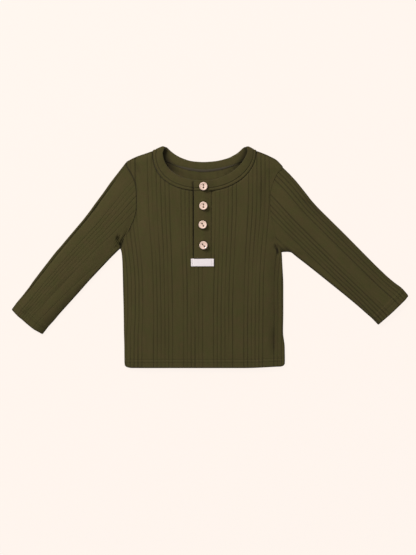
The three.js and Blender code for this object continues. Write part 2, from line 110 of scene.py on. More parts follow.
# The back's free edge hangs between the two tips of the front's, and is given by its points
neck = {
    "frontFree": {
        "x": -6.1,
        "top": 146.5,
        "half": 57,
        "depth": 43.5,
        "rightPower": 2.4,
        "leftPower": 1.8,
        "rightTip": (2.9, 1.5),
        "leftTip": (2.3, 1.5),
        "tipReach": 7,
    },
    "frontSeam": {"x": -7, "top": 141.2, "half": 69, "depth": 52.6, "rightPower": 2.4, "leftPower": 2},
    "backFree": {
        "points": [
            (-60.2, 148), (-58.9, 147.9), (-57.3, 147.1), (-53.2, 143.3), (-48.6, 139.5), (-43.9, 136.4),
            (-39, 133.8), (-32.5, 131.3), (-27.1, 129.6), (-19.5, 128.4), (-8.4, 127.8), (2.3, 128.4),
            (10.4, 129.4), (19.8, 131.6), (26.4, 133.8), (31.6, 136.5), (36.2, 139.2), (40.8, 143),
            (45.1, 146.9), (47.2, 147.9), (48.6, 148),
        ],
    },
    "backSeam": {"x": -7, "top": 141.2, "half": 69, "depth": 25.2, "rightPower": 1.6, "leftPower": 1.55},
}
slit = {"left": -21.7, "right": 1.9, "bottom": -2.6, "height": 91}
buttons = [
    {"node": "button_1", "x": -8.5, "y": 94.8, "turn": 90, "foot": 6.6},
    {"node": "button_2", "x": -8.5, "y": 68.7, "turn": 90, "foot": 6.3},
    {"node": "button_3", "x": -9.4, "y": 43.4, "turn": 119, "foot": 6.3},
    {"node": "button_4", "x": -8.4, "y": 15.8, "turn": 135, "foot": 6.3},
]


def lerp(a, b, share):
    return a + (b - a) * share


def evenly(start, end, count):
    return [lerp(start, end, i / count) for i in range(count + 1)]


def clamp(value, low=0.0, high=1.0):
    return max(low, min(high, value))


def smoothstep(value, low, high):
    share = clamp((value - low) / (high - low))
    return share * share * (3 - 2 * share)


def bump(distance, reach):
    return math.exp(-((distance / reach) ** 2))


def softNoise(x, y, z):
    return noise.noise(Vector((x, y, z)))


# A smooth curve through points of rising x that never swings past them
def curveThrough(points):
    xs = [point[0] for point in points]
    ys = [point[1] for point in points]
    rates = [(ys[i + 1] - ys[i]) / (xs[i + 1] - xs[i]) for i in range(len(xs) - 1)]
    slopes = [rates[0]]
    for before, after in zip(rates, rates[1:]):
        slopes.append(0 if before * after <= 0 else 2 * before * after / (before + after))
    slopes.append(rates[-1])

    def at(x):
        i = int(clamp(bisect.bisect_right(xs, x) - 1, 0, len(xs) - 2))
        width = xs[i + 1] - xs[i]
        t = clamp((x - xs[i]) / width)
        rise = (2 * t**3 - 3 * t**2 + 1) * ys[i] + (3 * t**2 - 2 * t**3) * ys[i + 1]
        return rise + width * ((t**3 - 2 * t**2 + t) * slopes[i] + (t**3 - t**2) * slopes[i + 1])

    return at


leftEdge = curveThrough([(y, left) for y, left, right in bodyRows])
rightEdge = curveThrough([(y, right) for y, left, right in bodyRows])


# The two edges at a height, and how squarely each faces sideways there
def rowEdges(y):
    step = 0.4
    edges = {}
    for side, edgeAt in (("left", leftEdge), ("right", rightEdge)):
        edges[side] = edgeAt(y)
        edges[side + "Facing"] = 2 * step / math.hypot(2 * step, edgeAt(y + step) - edgeAt(y - step))
    return edges


def fromEdges(x, edges):
    return (x - edges["left"]) * edges["leftFacing"], (edges["right"] - x) * edges["rightFacing"]


def rowsFrom(plan):
    rows = []
    for (start, gap), (end, nextGap) in zip(plan, plan[1:]):
        rows += evenly(start, end, max(1, round((end - start) / gap)))[:-1]
    return rows + [plan[-1][0]]


# Upright lines of a grid: several across each groove, and others no further apart than the widest gap
def ribColumns(grooves, low, high, offsets, widest):
    places = {round(groove + offset, 3) for groove in grooves for offset in offsets}
    places = sorted({low, high} | {place for place in places if low < place < high})
    filled = []
    for here, after in zip(places, places[1:]):
        filled += evenly(here, after, max(1, math.ceil((after - here) / widest)))[:-1]
    return filled + [high]


# Lines past an edge are drawn in, and crowd towards it
def fitColumns(places, low, high, margin):
    count = len(places)
    first = next(i for i in range(count) if places[i] > low + margin)
    last = next(i for i in range(count - 1, -1, -1) if places[i] < high - margin)
    fitted = list(places)
    for i in range(first):
        fitted[i] = lerp(low, places[first], (i / first) ** 1.6)
    for i in range(last + 1, count):
        fitted[i] = lerp(high, places[last], ((count - 1 - i) / (count - 1 - last)) ** 1.6)
    return fitted


# How far a point at x is into a groove, from 0 to 1
def grooveAt(grooves, x, halfWidth):
    i = bisect.bisect_left(grooves, x)
    nearest = min((abs(x - groove) for groove in grooves[max(0, i - 1) : i + 1]), default=9)
    if nearest >= halfWidth:
        return 0
    return (1 + math.cos(math.pi * nearest / halfWidth)) / 2


# How far a rounded rim has risen at some distance from its edge
def rimAt(distance, radius):
    return math.sqrt(max(0, 1 - (1 - clamp(distance / radius)) ** 2))


def crease(path, depth, width, fade=0.4):
    xs, ys = zip(*path)
    box = (min(xs), max(xs), min(ys), max(ys))
    return {"path": path, "depth": depth, "width": width, "fade": fade, "box": box}


# Depth of the creases at a point. Each is a path with a depth and a width, and fades at its ends.
def creaseDepth(creases, x, y):
    depth = 0
    for each in creases:
        reach = each["width"] * 2.4
        left, right, bottom, top = each["box"]
        if not (left - reach <= x <= right + reach and bottom - reach <= y <= top + reach):
            continue
        path = each["path"]
        best = None
        for i in range(len(path) - 1):
            (startX, startY), (endX, endY) = path[i], path[i + 1]
            runX, runY = endX - startX, endY - startY
            t = clamp(((x - startX) * runX + (y - startY) * runY) / (runX * runX + runY * runY))
            away = math.hypot(x - startX - t * runX, y - startY - t * runY)
            if best is None or away < best[0]:
                best = (away, (i + t) / (len(path) - 1))
        fade = smoothstep(best[1], 0, each["fade"]) * smoothstep(1 - best[1], 0, each["fade"])
        depth += each["depth"] * fade * bump(best[0], each["width"])
    return depth


backFreeAt = curveThrough(neck["backFree"]["points"])


def neckPoint(curve, angle):
    cos, sin = math.cos(math.radians(angle)), math.sin(math.radians(angle))
    if "points" in curve:
        x = lerp(curve["points"][0][0], curve["points"][-1][0], (1 + cos) / 2)
        return Vector((x, backFreeAt(x), 0))
    power = curve["rightPower"] if cos < 0 else curve["leftPower"]
    across = math.copysign(abs(cos) ** (2 / power), cos)
    down = curve["depth"] * abs(sin) ** (2 / power)
    point = Vector((curve["x"] + curve["half"] * across, curve["top"] - down, 0))
    if "tipReach" in curve:
        inward, up = curve["rightTip"] if cos < 0 else curve["leftTip"]
        tip = 1 - smoothstep(min(angle, 180 - angle), 0, curve["tipReach"])
        point += Vector((-math.copysign(inward, cos), up, 0)) * tip
    return point


# The band's free edge and its seam at an angle round the neck
def neckPair(side, angle, turn=0):
    return neckPoint(neck[side + "Free"], angle + turn), neckPoint(neck[side + "Seam"], angle)


# How far a point is outside a neck curve, below it or to its sides
def outsideNeck(curve, x, y):
    across = (x - curve["x"]) / curve["half"]
    down = max(0, (curve["top"] - y) / curve["depth"])
    power = curve["rightPower"] if across < 0 else curve["leftPower"]
    share = max(0.01, (abs(across) ** power + down**power) ** (1 / power))
    return math.hypot(x - curve["x"], down * curve["depth"]) * (1 - 1 / share)


def outsideSlit(x, y):
    aside = max(slit["left"] - x, x - slit["right"])
    below = slit["bottom"] - y
    if aside > 0 and below > 0:
        return math.hypot(aside, below)
    return max(aside, below)


# Meshes

# A grid of points. The layer keeps where each lies on the flat cloth, and how much shade is painted on it.
def gridMesh(columns, rows, place):
    mesh = bmesh.new()
    bmesh.ops.create_grid(mesh, x_segments=columns - 1, y_segments=rows - 1, size=1)
    cloth = mesh.verts.layers.float_vector.new("cloth")
    order = mesh.verts.layers.int.new("column")
    for number, vert in enumerate(mesh.verts):
        row, column = divmod(number, columns)
        point, flat = place(column, row)
        vert.co = Vector(point) * mm
        vert[cloth] = flat
        vert[order] = column
    return mesh


def meshData(name, mesh, material):
    data = bpy.data.meshes.new(name)
    mesh.to_mesh(data)
    mesh.free()
    data.materials.append(material)
    return data


def addObject(name, data):
    thing = bpy.data.objects.new(name, data)
    bpy.context.scene.collection.objects.link(thing)
    return thing


def makePiece(name, mesh, material, node=None):
    mesh.normal_update()
    data = meshData(name, mesh, material)
    data.shade_smooth()
    piece = addObject(name, data)
    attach(piece, "root")
    if node:
        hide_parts(node)
    return piece


# A skin of cloth. Each row gives its face's points from one edge to the other, then its lining's back.
def shell(rows, faceUp=True):
    columns = len(rows[0])
    mesh = gridMesh(columns, len(rows), lambda column, row: rows[row][column])
    mesh.verts.ensure_lookup_table()
    rims = [mesh.verts[row * columns + end] for row in range(len(rows)) for end in (0, columns - 1)]
    bmesh.ops.remove_doubles(mesh, verts=rims, dist=1e-6)
    if not faceUp:
        bmesh.ops.reverse_faces(mesh, faces=mesh.faces)
    return mesh


# Short stitches lying end to end along a path
def stitchRow(mesh, path, length, gap, width, height):
    travelled = [0]
    for here, after in zip(path, path[1:]):
        travelled.append(travelled[-1] + (after - here).length)

    def pointAt(distance):
        i = int(clamp(bisect.bisect_right(travelled, distance) - 1, 0, len(path) - 2))
        run = max(1e-6, travelled[i + 1] - travelled[i])
        return path[i].lerp(path[i + 1], (distance - travelled[i]) / run)

    for i in range(int(travelled[-1] // (length + gap))):
        start = pointAt(i * (length + gap))
        end = pointAt(i * (length + gap) + length)
        turn = (end - start).to_track_quat("X", "Z").to_matrix().to_4x4()
        size = Matrix.Diagonal((length / 2 * mm, width / 2 * mm, height / 2 * mm, 1))
        place = Matrix.Translation((start + end) / 2 * mm) @ turn @ size
        bmesh.ops.create_uvsphere(mesh, u_segments=6, v_segments=4, radius=1, matrix=place)


# Materials

# A socket that can be used in sums
class Wire:
    def __init__(self, tree, socket):
        self.tree = tree
        self.socket = socket

    def add(self, kind, settings, inputs, output=0):
        node = self.tree.nodes.new(kind)
        for name, value in settings.items():
            setattr(node, name, value)
        for name, value in inputs.items():
            if isinstance(value, Wire):
                self.tree.links.new(value.socket, node.inputs[name])
            else:
                node.inputs[name].default_value = value
        return Wire(self.tree, node.outputs[output])

    def math(self, operation, *others):
        return self.add("ShaderNodeMath", {"operation": operation}, dict(enumerate((self, *others))))

    def __add__(self, other):
        return self.math("ADD", other)

    def __sub__(self, other):
        return self.math("SUBTRACT", other)

    def __mul__(self, other):
        return self.math("MULTIPLY", other)

    def __truediv__(self, other):
        return self.math("DIVIDE", other)

    def __rsub__(self, other):
        return self.add("ShaderNodeMath", {"operation": "SUBTRACT"}, {0: other, 1: self})

    def mixColours(self, low, high):
        return self.add("ShaderNodeMix", {"data_type": "RGBA"}, {0: self, 6: low, 7: high}, 2)

    def timesColour(self, other):
        settings = {"data_type": "RGBA", "blend_type": "MULTIPLY"}
        return self.add("ShaderNodeMix", settings, {0: 1.0, 6: self, 7: other}, 2)


def newMaterial(name, constants):
    material = bpy.data.materials.new(name)
    material.use_nodes = True
    tree = material.node_tree
    shader = tree.nodes["Principled BSDF"]
    for socket, value in constants.items():
        shader.inputs[socket].default_value = value
    coordinates = tree.nodes.new("ShaderNodeTexCoord")
    return material, shader, Wire(tree, coordinates.outputs["Object"])


def noiseAt(place, scale, detail=2.0, roughness=0.5):
    inputs = {"Vector": place, "Scale": scale, "Detail": detail, "Roughness": roughness}
    return place.add("ShaderNodeTexNoise", {}, inputs)


def feed(wire, shader, socket):
    wire.tree.links.new(wire.socket, shader.inputs[socket])


olive = {
    "low": (0.0480, 0.0440, 0.0125, 1),
    "high": (0.0770, 0.0630, 0.0225, 1),
    "brown": (1.10, 0.96, 1.08, 1),
    "green": (0.94, 1.03, 0.90, 1),
    # The next two: the colour and the strength of the shade painted into the cloth's colour
    "paintedShadeColour": (0.13, 0.11, 0.10, 1),
    "paintedShadeStrength": 0.28,
    "wale": 0.85,
    "course": 0.72,
    "constants": {"Roughness": 0.95, "Specular IOR Level": 0.15, "Sheen Weight": 0.06, "Sheen Roughness": 0.5},
}


# Knit cloth with fine columns of stitches, which follow the cloth's own directions
def knitMaterial(name):
    material, shader, place = newMaterial(name, olive["constants"])
    cloth = place.add("ShaderNodeAttribute", {"attribute_name": "cloth"}, {}, 1)
    # The attribute's third part, read here as groove, is painted shade from grooves, creases, stitches, rims,
    # seams, the neck's ends and the buttons
    across, along, groove = [cloth.add("ShaderNodeSeparateXYZ", {}, {0: cloth}, i) for i in range(3)]
    patches = noiseAt(place, 22, 3.0, 0.55)
    stretched = place.add("ShaderNodeMapping", {}, {"Vector": cloth, "Scale": (0.34, 0.03, 0)})
    streaks = noiseAt(stretched, 1, 2.0, 0.6)
    fibres = noiseAt(place, 900, 2.0, 0.6)
    shade = patches * 0.45 + streaks * 0.55 + fibres * 0.45 - 0.23
    tint = ((noiseAt(place, 85, 3.0, 0.7) - 0.5) * 1.7 + 0.5).mixColours(olive["brown"], olive["green"])
    paintedShade = (groove * olive["paintedShadeStrength"]).mixColours((1, 1, 1, 1), olive["paintedShadeColour"])
    colour = shade.mixColours(olive["low"], olive["high"]).timesColour(tint).timesColour(paintedShade)
    feed(colour, shader, "Base Color")
    wale = (across / olive["wale"]).math("FRACT")
    aside = (wale - 0.5).math("ABSOLUTE") * 2
    yarn = ((along / olive["course"] + aside * 0.8) * (2 * math.pi)).math("SINE")
    height = (1 - aside * aside) * 0.6 + yarn * 0.25 + fibres * 0.3
    relief = height.add("ShaderNodeBump", {}, {"Height": height, "Strength": 0.45, "Distance": 0.00016})
    feed(relief, shader, "Normal")
    return material


def threadMaterial(name, colour, roughness):
    material, shader, place = newMaterial(name, {"Roughness": roughness, "Specular IOR Level": 0.15})
    twist = noiseAt(place, 1400, 1.0)
    low = tuple(0.75 * part for part in colour[:3]) + (1,)
    feed(twist.mixColours(low, colour), shader, "Base Color")
    return material


clothMaterial = knitMaterial("ribKnit")
threadCloth = threadMaterial("oliveThread", (0.058, 0.050, 0.022, 1), 0.9)
print("materials made")

# Body

bodyGrooves = [
    ribs["first"] + ribs["repeat"] * group + ribs["pitch"] * i
    for group in range(ribs["groups"])
    for i in range(ribs["perGroup"])
]
bodyColumns = {"from": -122, "to": 104, "margin": 3.0, "pinnedAt": 50}

front = {
    "offsets": grooveOffsets,
    "widestGap": 1.9,
    "rows": [(-148.6, 0.17), (-147.75, 0.6), (-143, 0.5), (-136.6, 2.1), (84, 1.5), (143, 0)],
    "liningGap": 3.2,
    "wave": 0.3,
    "lowest": 1.75,  # the deepest crease still lies on the back
    "lowestLining": 1.4,
    "thinnest": 0.25,
    "tuckedFace": (2.05, 2.5),  # under the band and under the placket
    "tuckedLining": (1.8, 2.1),
    "creases": [
        crease([(86.6, 26), (87.6, -20), (86.4, -96), (86, -138)], 0.5, 7, 0.25),
        crease([(85.8, -86), (85.6, -114), (86.4, -138)], 0.7, 3.4, 0.4),
        crease([(86.8, 18), (88.6, 13.6), (90.2, 10.6), (91.3, 7), (92.2, 2.4)], 3.5, 1.25, 0.2),
        crease([(84.6, 30), (86.2, 24), (87.4, 19)], 0.5, 2.2, 0.4),
        crease([(-116.6, 25), (-117.2, 18), (-118.2, 11)], 1.7, 1.3, 0.2),
        crease([(-108, 60), (-104, 30), (-106, -20)], 0.3, 5, 0.5),
        crease([(-98.8, 130), (-95, 118), (-92, 106)], 0.5, 3.2, 0.45),
        crease([(-60, -60), (-58, -105), (-61, -136)], 0.25, 6, 0.5),
        crease([(38, 30), (44, -30), (40, -90)], 0.22, 8, 0.5),
        crease([(74, 118), (72, 86), (77, 50)], 0.35, 4.5, 0.45),
    ],
    "hemStitches": [-137.8, -141.6],
    "threadAbove": 0.2,
}

back = {
    "offsets": [-0.9, -0.45, 0, 0.45, 0.9],
    "widestGap": 2.2,
    "rows": [(-148.6, 0.2), (-147.6, 0.9), (-143, 2.4), (108, 1.5), (143, 0)],
    "liningGap": 2.4,
    "rib": 0.32,
    "creases": [
        crease([(70, 30), (74, -40), (70, -120)], 0.3, 6, 0.3),
        crease([(-96, 20), (-92, -30), (-98, -90)], 0.25, 6, 0.4),
        crease([(-20, 60), (-14, 0), (-22, -60)], 0.2, 8, 0.4),
    ],
}


def fanAt(y):
    return 1 + ribs["fan"] * smoothstep(y, ribs["fanFrom"], ribs["fanTo"])


strays = [curveThrough([(y, row[i]) for y, row in strayRows]) for i in range(len(strayPlaces))]


def swayAt(x, y):
    i = int(clamp(bisect.bisect_right(strayPlaces, x) - 1, 0, len(strayPlaces) - 2))
    stray = lerp(strays[i](y), strays[i + 1](y), smoothstep(x, strayPlaces[i], strayPlaces[i + 1]))
    return stray + ribs["sway"] * softNoise(x * 0.02, y * 0.016, 7.7)


def ribPlace(x, y):
    return ribs["centre"] + (x - swayAt(x, y) - ribs["centre"]) / fanAt(y)


def hemShift(x, y):
    fade = 1 - smoothstep(y, hem["y"], hem["fadesBy"])
    return hem["rise"] * smoothstep(x, hem["riseFrom"], hem["riseTo"]) * fade


def frontUnder(x, y):
    inset = min(x - leftEdge(y), rightEdge(y) - x)
    return knit["wall"] + knit["seam"] + knit["puff"] * smoothstep(inset, 0, knit["puffReach"])


def liftOf(x, y, edges):
    inset = min(x - edges["left"], edges["right"] - x)
    soft = softNoise(x * 0.021, y * 0.013, 1.3) + 0.5 * softNoise(x * 0.05, y * 0.03, 4.1)
    wave = front["wave"] * soft * smoothstep(inset, 2, 16)
    return knit["puff"] * smoothstep(inset, 0, knit["puffReach"]) + wave


# The seam to the right sleeve is a clear ditch. The one to the left sleeve hardly shows.
def rimShareAt(x, y, edges):
    toLeft, toRight = fromEdges(x, edges)
    radius = lerp(knit["rim"], 0.45, smoothstep(y, 6, 14)) if toRight < toLeft else knit["rim"]
    return rimAt(min(toLeft, toRight, y - hem["y"] + 0.02), radius)


# The shade painted along the armhole seams is least halfway up
def armholeFade(y):
    return 1 - 0.55 * bump(y - 76, 20)


# Shade painted on the cloth at its rims: least at the upper left, most at the lower right
def rimShade(x, y, edges):
    toLeft, toRight = fromEdges(x, edges)
    armhole = smoothstep(y, 8, 16) * (1 - smoothstep(y, 116, 126))
    left = lerp(0.7 * bump(toLeft, 1.3), 1.9 * bump(toLeft, 0.9), armhole) * armholeFade(y)
    right = lerp(1.6 * bump(toRight, 1.5), 0.5 * bump(toRight, 0.9), armhole)
    return left + right + 1.0 * bump(y - hem["y"], 1.2)


# Shade painted beside the neckband and on both sides of the placket
def besideShade(x, y):
    left, right, bottom = slit["left"], slit["right"], slit["bottom"]
    shade = 1.1 * bump(outsideNeck(neck["frontSeam"], x, y), 1.3)
    shade += 2.2 * bump(left - x - 0.2, 1.3) * smoothstep(y, bottom, bottom + 8)
    shade += 0.5 * bump(left - x, 5.5) * smoothstep(y, 50, 85) * smoothstep(left - x, -1, 1)
    return shade + 1.5 * bump(x - right - 0.4, 0.8) * smoothstep(y, bottom, bottom + 4)


# Sinks a layer under the neckband and under the placket
def tuck(z, x, y, underBand, underPlacket):
    z = lerp(underBand, z, smoothstep(outsideNeck(neck["frontSeam"], x, y), -0.9, 1.5))
    return lerp(underPlacket, z, smoothstep(outsideSlit(x, y), -0.9, 0.8))


# Ribs sink more in some places than in others
def unevenness(x, y):
    return clamp(0.84 + 0.85 * softNoise(x * 0.29, y * 0.011, 9), 0.2, 1.4)


# Height of the front's face and lining, and the shade painted in its grooves, creases, hem stitches and rims
def frontLayer(x, y, edges):
    fall = creaseDepth(front["creases"], x, y)
    under = knit["wall"] + knit["seam"] + liftOf(x, y, edges) - fall
    fold = hem["fold"] * (1 - smoothstep(y, hem["top"], hem["top"] + 1.4))
    place = ribPlace(x, y)
    sunk = unevenness(place, y) * (1 - 0.6 * bump(x - 8, 4) * smoothstep(y, -2, 6))
    groove = grooveAt(bodyGrooves, place, ribs["halfWidth"]) * sunk
    broad = grooveAt(bodyGrooves, place, ribs["shadeHalfWidth"]) * sunk
    stitched = max(bump(y - line - front["threadAbove"], sewing["width"]) for line in front["hemStitches"])
    face = under + knit["wall"] + knit["rib"] * (1 - groove) + fold - 0.22 * stitched
    face = max(tuck(face, x, y, *front["tuckedFace"]), front["lowest"])
    lining = tuck(max(under, front["lowestLining"]), x, y, *front["tuckedLining"])
    shade = 0.5 * groove + 0.6 * broad + 0.9 * fall + 0.5 * stitched
    shade += rimShade(x, y, edges) + besideShade(x, y)
    return face, min(lining, face - front["thinnest"]), shade


# Crowds the lining's columns towards both edges
def rimShare(share):
    return share - 0.13 * math.sin(2 * math.pi * share)


# A panel's points from the hem up. Two columns are pinned to the sides of the slit.
def panelRows(plan, columns, liningColumns, layerAt, faceShows):
    rows = []
    pins = (slit["left"], slit["right"])
    pinned = []
    for pin in pins:
        target = ribPlace(pin, bodyColumns["pinnedAt"])
        pinned.append(min(range(len(columns)), key=lambda i: abs(columns[i] - target)))
    for y in rowsFrom(plan):
        edges = rowEdges(y)
        fan = fanAt(y)
        xs = [ribs["centre"] + (u - ribs["centre"]) * fan for u in columns]
        xs = [x + swayAt(x, y) for x in xs]
        for i, pin in zip(pinned, pins):
            shift = (pin - xs[i]) * smoothstep(y, slit["bottom"] - 14, slit["bottom"] - 3)
            for j in range(i - 4, i + 5):
                xs[j] += shift * (1 - abs(j - i) / 5)
        faceXs = fitColumns(xs, edges["left"], edges["right"], bodyColumns["margin"])
        shares = [rimShare(i / liningColumns) for i in range(1, liningColumns + 1)]
        liningXs = [lerp(edges["right"], edges["left"], share) for share in shares]
        row = []
        for x, isFace in [(x, True) for x in faceXs] + [(x, False) for x in liningXs]:
            face, lining, shade = layerAt(x, y, edges)
            z = lerp((face + lining) / 2, face if isFace else lining, rimShareAt(x, y, edges))
            cloth = Vector((ribPlace(x, y), y, shade if isFace == faceShows else 0))
            row.append(((x, y + hemShift(x, y), z), cloth))
        rows.append(row)
    return rows


def dropInside(mesh, isInside):
    doomed = []
    for face in mesh.faces:
        middle = face.calc_center_median() / mm
        if isInside(middle.x, middle.y):
            doomed.append(face)
    bmesh.ops.delete(mesh, geom=doomed, context="FACES")


# Moves the ragged edge that a cut leaves on to the curve itself
def trimToNeck(mesh, curve, inside):
    for vert in mesh.verts:
        if not vert.is_boundary:
            continue
        x, y = vert.co.x / mm, vert.co.y / mm
        away = outsideNeck(curve, x, y)
        if away > inside + 4 or away < inside - 4:
            continue
        ray = Vector((x - curve["x"], min(0, y - curve["top"])))
        if ray.length < 1:
            continue
        ray *= (ray.length - away + inside) / ray.length
        vert.co.x = (curve["x"] + ray.x) * mm
        if y < curve["top"]:
            vert.co.y = (curve["top"] + ray.y) * mm


# Follows an open edge from a point, over points whose columns lie between two
def openChain(start, order, lowest, highest):
    chain = [start]
    used = set()
    while True:
        onward = None
        for edge in chain[-1].link_edges:
            other = edge.other_vert(chain[-1])
            if edge.is_boundary and edge not in used and lowest <= other[order] <= highest:
                onward = (edge, other)
        if onward is None:
            return chain
        used.add(onward[0])
        chain.append(onward[1])


# Joins the face to the lining along the open edge at the top or the bottom of a shell
def closeCut(mesh, faceColumns, liningColumns, atTop):
    mesh.normal_update()
    order = mesh.verts.layers.int["column"]
    columns = faceColumns + liningColumns
    ends = [vert for vert in mesh.verts if vert.is_boundary and vert[order] in (0, columns - 1, faceColumns - 1)]
    heights = [vert.co.y for vert in mesh.verts]
    middle = (min(heights) + max(heights)) / 2
    ends = [vert for vert in ends if (vert.co.y > middle) == atTop]
    left, right = (side(ends, key=lambda vert: vert.co.x) for side in (min, max))
    face = openChain(left, order, 1, faceColumns - 1)
    lining = openChain(left, order, faceColumns, columns - 2) + [right]
    i = j = 0
    while i < len(face) - 1 or j < len(lining) - 1:
        faceNext = j == len(lining) - 1 or (
            i < len(face) - 1
            and (face[i + 1].co - lining[j].co).length <= (lining[j + 1].co - face[i].co).length
        )
        corners = (face[i], face[i + 1], lining[j]) if faceNext else (face[i], lining[j + 1], lining[j])
        if len(set(corners)) == 3:
            mesh.faces.new(corners)
        i, j = (i + 1, j) if faceNext else (i, j + 1)
    bmesh.ops.recalc_face_normals(mesh, faces=mesh.faces)


def closeEnds(mesh, faceColumns, liningColumns):
    for atTop in (True, False):
        closeCut(mesh, faceColumns, liningColumns, atTop)


# The front shows its face and the back shows its lining, which is what the neck opens on to
def panelPiece(name, node, look, layerAt, seam, isCutOut, faceUp):
    columns = ribColumns(bodyGrooves, bodyColumns["from"], bodyColumns["to"], look["offsets"], look["widestGap"])
    liningColumns = round(knit["chest"] / look["liningGap"])
    mesh = shell(panelRows(look["rows"], columns, liningColumns, layerAt, faceUp), faceUp)
    dropInside(mesh, isCutOut)
    trimToNeck(mesh, seam, -1.2)
    closeEnds(mesh, len(columns), liningColumns)
    print(name, "made")
    return makePiece(name, mesh, clothMaterial, node)


def frontCut(x, y):
    return outsideNeck(neck["frontSeam"], x, y) < -1.6 or outsideSlit(x, y) < -1.4


def backCut(x, y):
    return outsideNeck(neck["backSeam"], x, y) < -1.6


# Painted shadow on the inside of the neck, under the two ends of the front's band
def neckShade(x, y):
    inside = -outsideNeck(neck["frontFree"], x, y)
    if x < neck["frontFree"]["x"]:
        return 2.8 * bump(max(0, inside - 3), 4.6) * smoothstep(y, 104, 124)
    return 2.6 * bump(max(0, inside - 1.6), 3.8) * smoothstep(y, 108, 130)


# The back's face is its underside, which rests on the surface. Its inside shows through the neck.
def backLayer(x, y, edges):
    rib = back["rib"] * grooveAt(bodyGrooves, ribPlace(x, y), ribs["halfWidth"])
    ridge = grooveAt(bodyGrooves, ribPlace(x, y) - ribs["pitch"] / 2, ribs["halfWidth"])
    inner = knit["wall"] - 0.16 * ridge + 0.05 * softNoise(x * 0.05, y * 0.5, 2)
    # Painted shade in the hollows on the inner side and, through neckShade, under the ends of the front's band
    return rib + creaseDepth(back["creases"], x, y), inner, 0.6 * ridge + neckShade(x, y)


frontPanel = panelPiece("frontPanel", "front_panel", front, frontLayer, neck["frontSeam"], frontCut, True)
backPanel = panelPiece("backPanel", "back_panel", back, backLayer, neck["backSeam"], backCut, False)

# Sleeves

sleeveLook = {
    "rim": 1.7,
    "margin": 3,
    "hem": 13,
    "puffReach": 18,
    "puffBy": 0.12,
    "wave": 0.35,
    "flareLength": 0.07,
    "lining": 9,
    "inside": 1.7,
    "tuck": 2.6,
    "stitches": [12.2, 8.6],
    "stitchSink": 0.2,
    "rings": 108,
}

# The bows move the upper and the lower edge along the sleeve, and the bulge moves the cuff's end
sleeves = {
    "right_sleeve": {
        "edge": leftEdge,
        "turn": 1,
        "underarm": 10.5,
        "tip": 127,
        "corner": (-265.7, -70.1),
        "cuffWidth": 53.2,
        "flare": 0,
        "grooves": [5, 23, 28.3, 33.6, 39, 44.3, 49.6, 65.5, 70.6, 75.7, 80.8],
        "taper": 0.38,
        "drift": 2,
        "rib": 0.26,
        "ribShade": 0.42,
        "seamSink": 0.3,
        "seamShade": 1.6,
        "bow": [
            (0, 0), (34, 0.1), (46, 0.7), (58, 1.1), (70, 1.3), (82, 1.8), (94, 1.8), (106, 1.4), (118, 0.9),
            (130, 0.4), (142, 0), (154, -0.7), (178, -0.7), (190, -0.6), (202, -0.4), (214, 0.2), (226, 0.1),
            (238, -0.3), (250, 0),
        ],
        "underBow": [
            (0, 0), (88, 0), (100, 1.2), (118, 1.8), (154, 2), (178, 1.4), (202, 1), (214, 0.8), (226, 0.2),
            (250, 0),
        ],
        "cuffBulge": [
            (0, 0), (0.15, 1.4), (0.26, 2), (0.38, 2.1), (0.49, 2.5), (0.6, 2.7), (0.71, 2.8), (0.83, 2.6),
            (0.94, 1.5), (1, 0.6),
        ],
        "creases": [
            crease([(-125, 28.5), (-121.4, 21), (-118.2, 13)], 3, 1.7, 0.15),
            crease([(-128, 20), (-124, 14), (-121, 10)], 0.8, 1.6, 0.4),
            crease([(-115, 118.6), (-161.8, 54.3), (-204.2, 3.5), (-254.2, -60.5)], 1, 0.9, 0.12),
            crease([(-146.3, 74), (-152, 66), (-158.5, 57)], 0.6, 1.8, 0.4),
            crease([(-170, -9), (-204, -42), (-228, -70)], 0.4, 2.4, 0.4),
            crease([(-236, -66), (-246, -74), (-252, -80)], 0.5, 3, 0.4),
            crease([(-182, -44), (-190, -54), (-198, -64)], 0.6, 3, 0.4),
        ],
    },
    "left_sleeve": {
        "edge": rightEdge,
        "turn": -1,
        "underarm": 7.5,
        "tip": 120,
        "corner": (265.7, -52),
        "cuffWidth": 55.5,
        "flare": 8.7,
        "grooves": [4.5, 9, 14, 19.5, 37, 41.8, 46.6, 51.4, 56.2, 71, 76],
        "taper": 0.06,
        "drift": 0,
        "rib": 0.68,
        "ribShade": 1.15,
        "seamSink": 0.08,
        "seamShade": 0.4,
        "bow": [
            (0, 0), (12, -0.3), (24, 0), (35, 0.9), (47, 2.1), (59, 3.4), (71, 3.8), (95, 3.4), (119, 2.9),
            (155, 2.6), (179, 2.4), (191, 2), (203, 1.4), (215, 0.1), (227, -1.7), (237, -1.2), (242, 0),
        ],
        "underBow": [
            (0, -1.4), (96, -1.4), (108, -1), (120, -0.6), (150, 0), (192, 0.6), (204, 0.5), (228, 0), (242, 0),
        ],
        "cuffBulge": [(0, 0.4), (0.15, 1.4), (0.47, 1.4), (0.8, 0.7), (1, 0.1)],
        "creases": [
            crease([(119, 81), (137, 70), (166, 41)], 0.6, 2.2, 0.4),
            crease([(100, 101), (144, 58), (194, 7), (232, -36)], 0.4, 3, 0.3),
            crease([(153, 35), (211, -21)], 0.3, 2.4, 0.4),
            crease([(104, 8), (130, 2), (150, -14)], 0.35, 3, 0.4),
        ],
    },
}


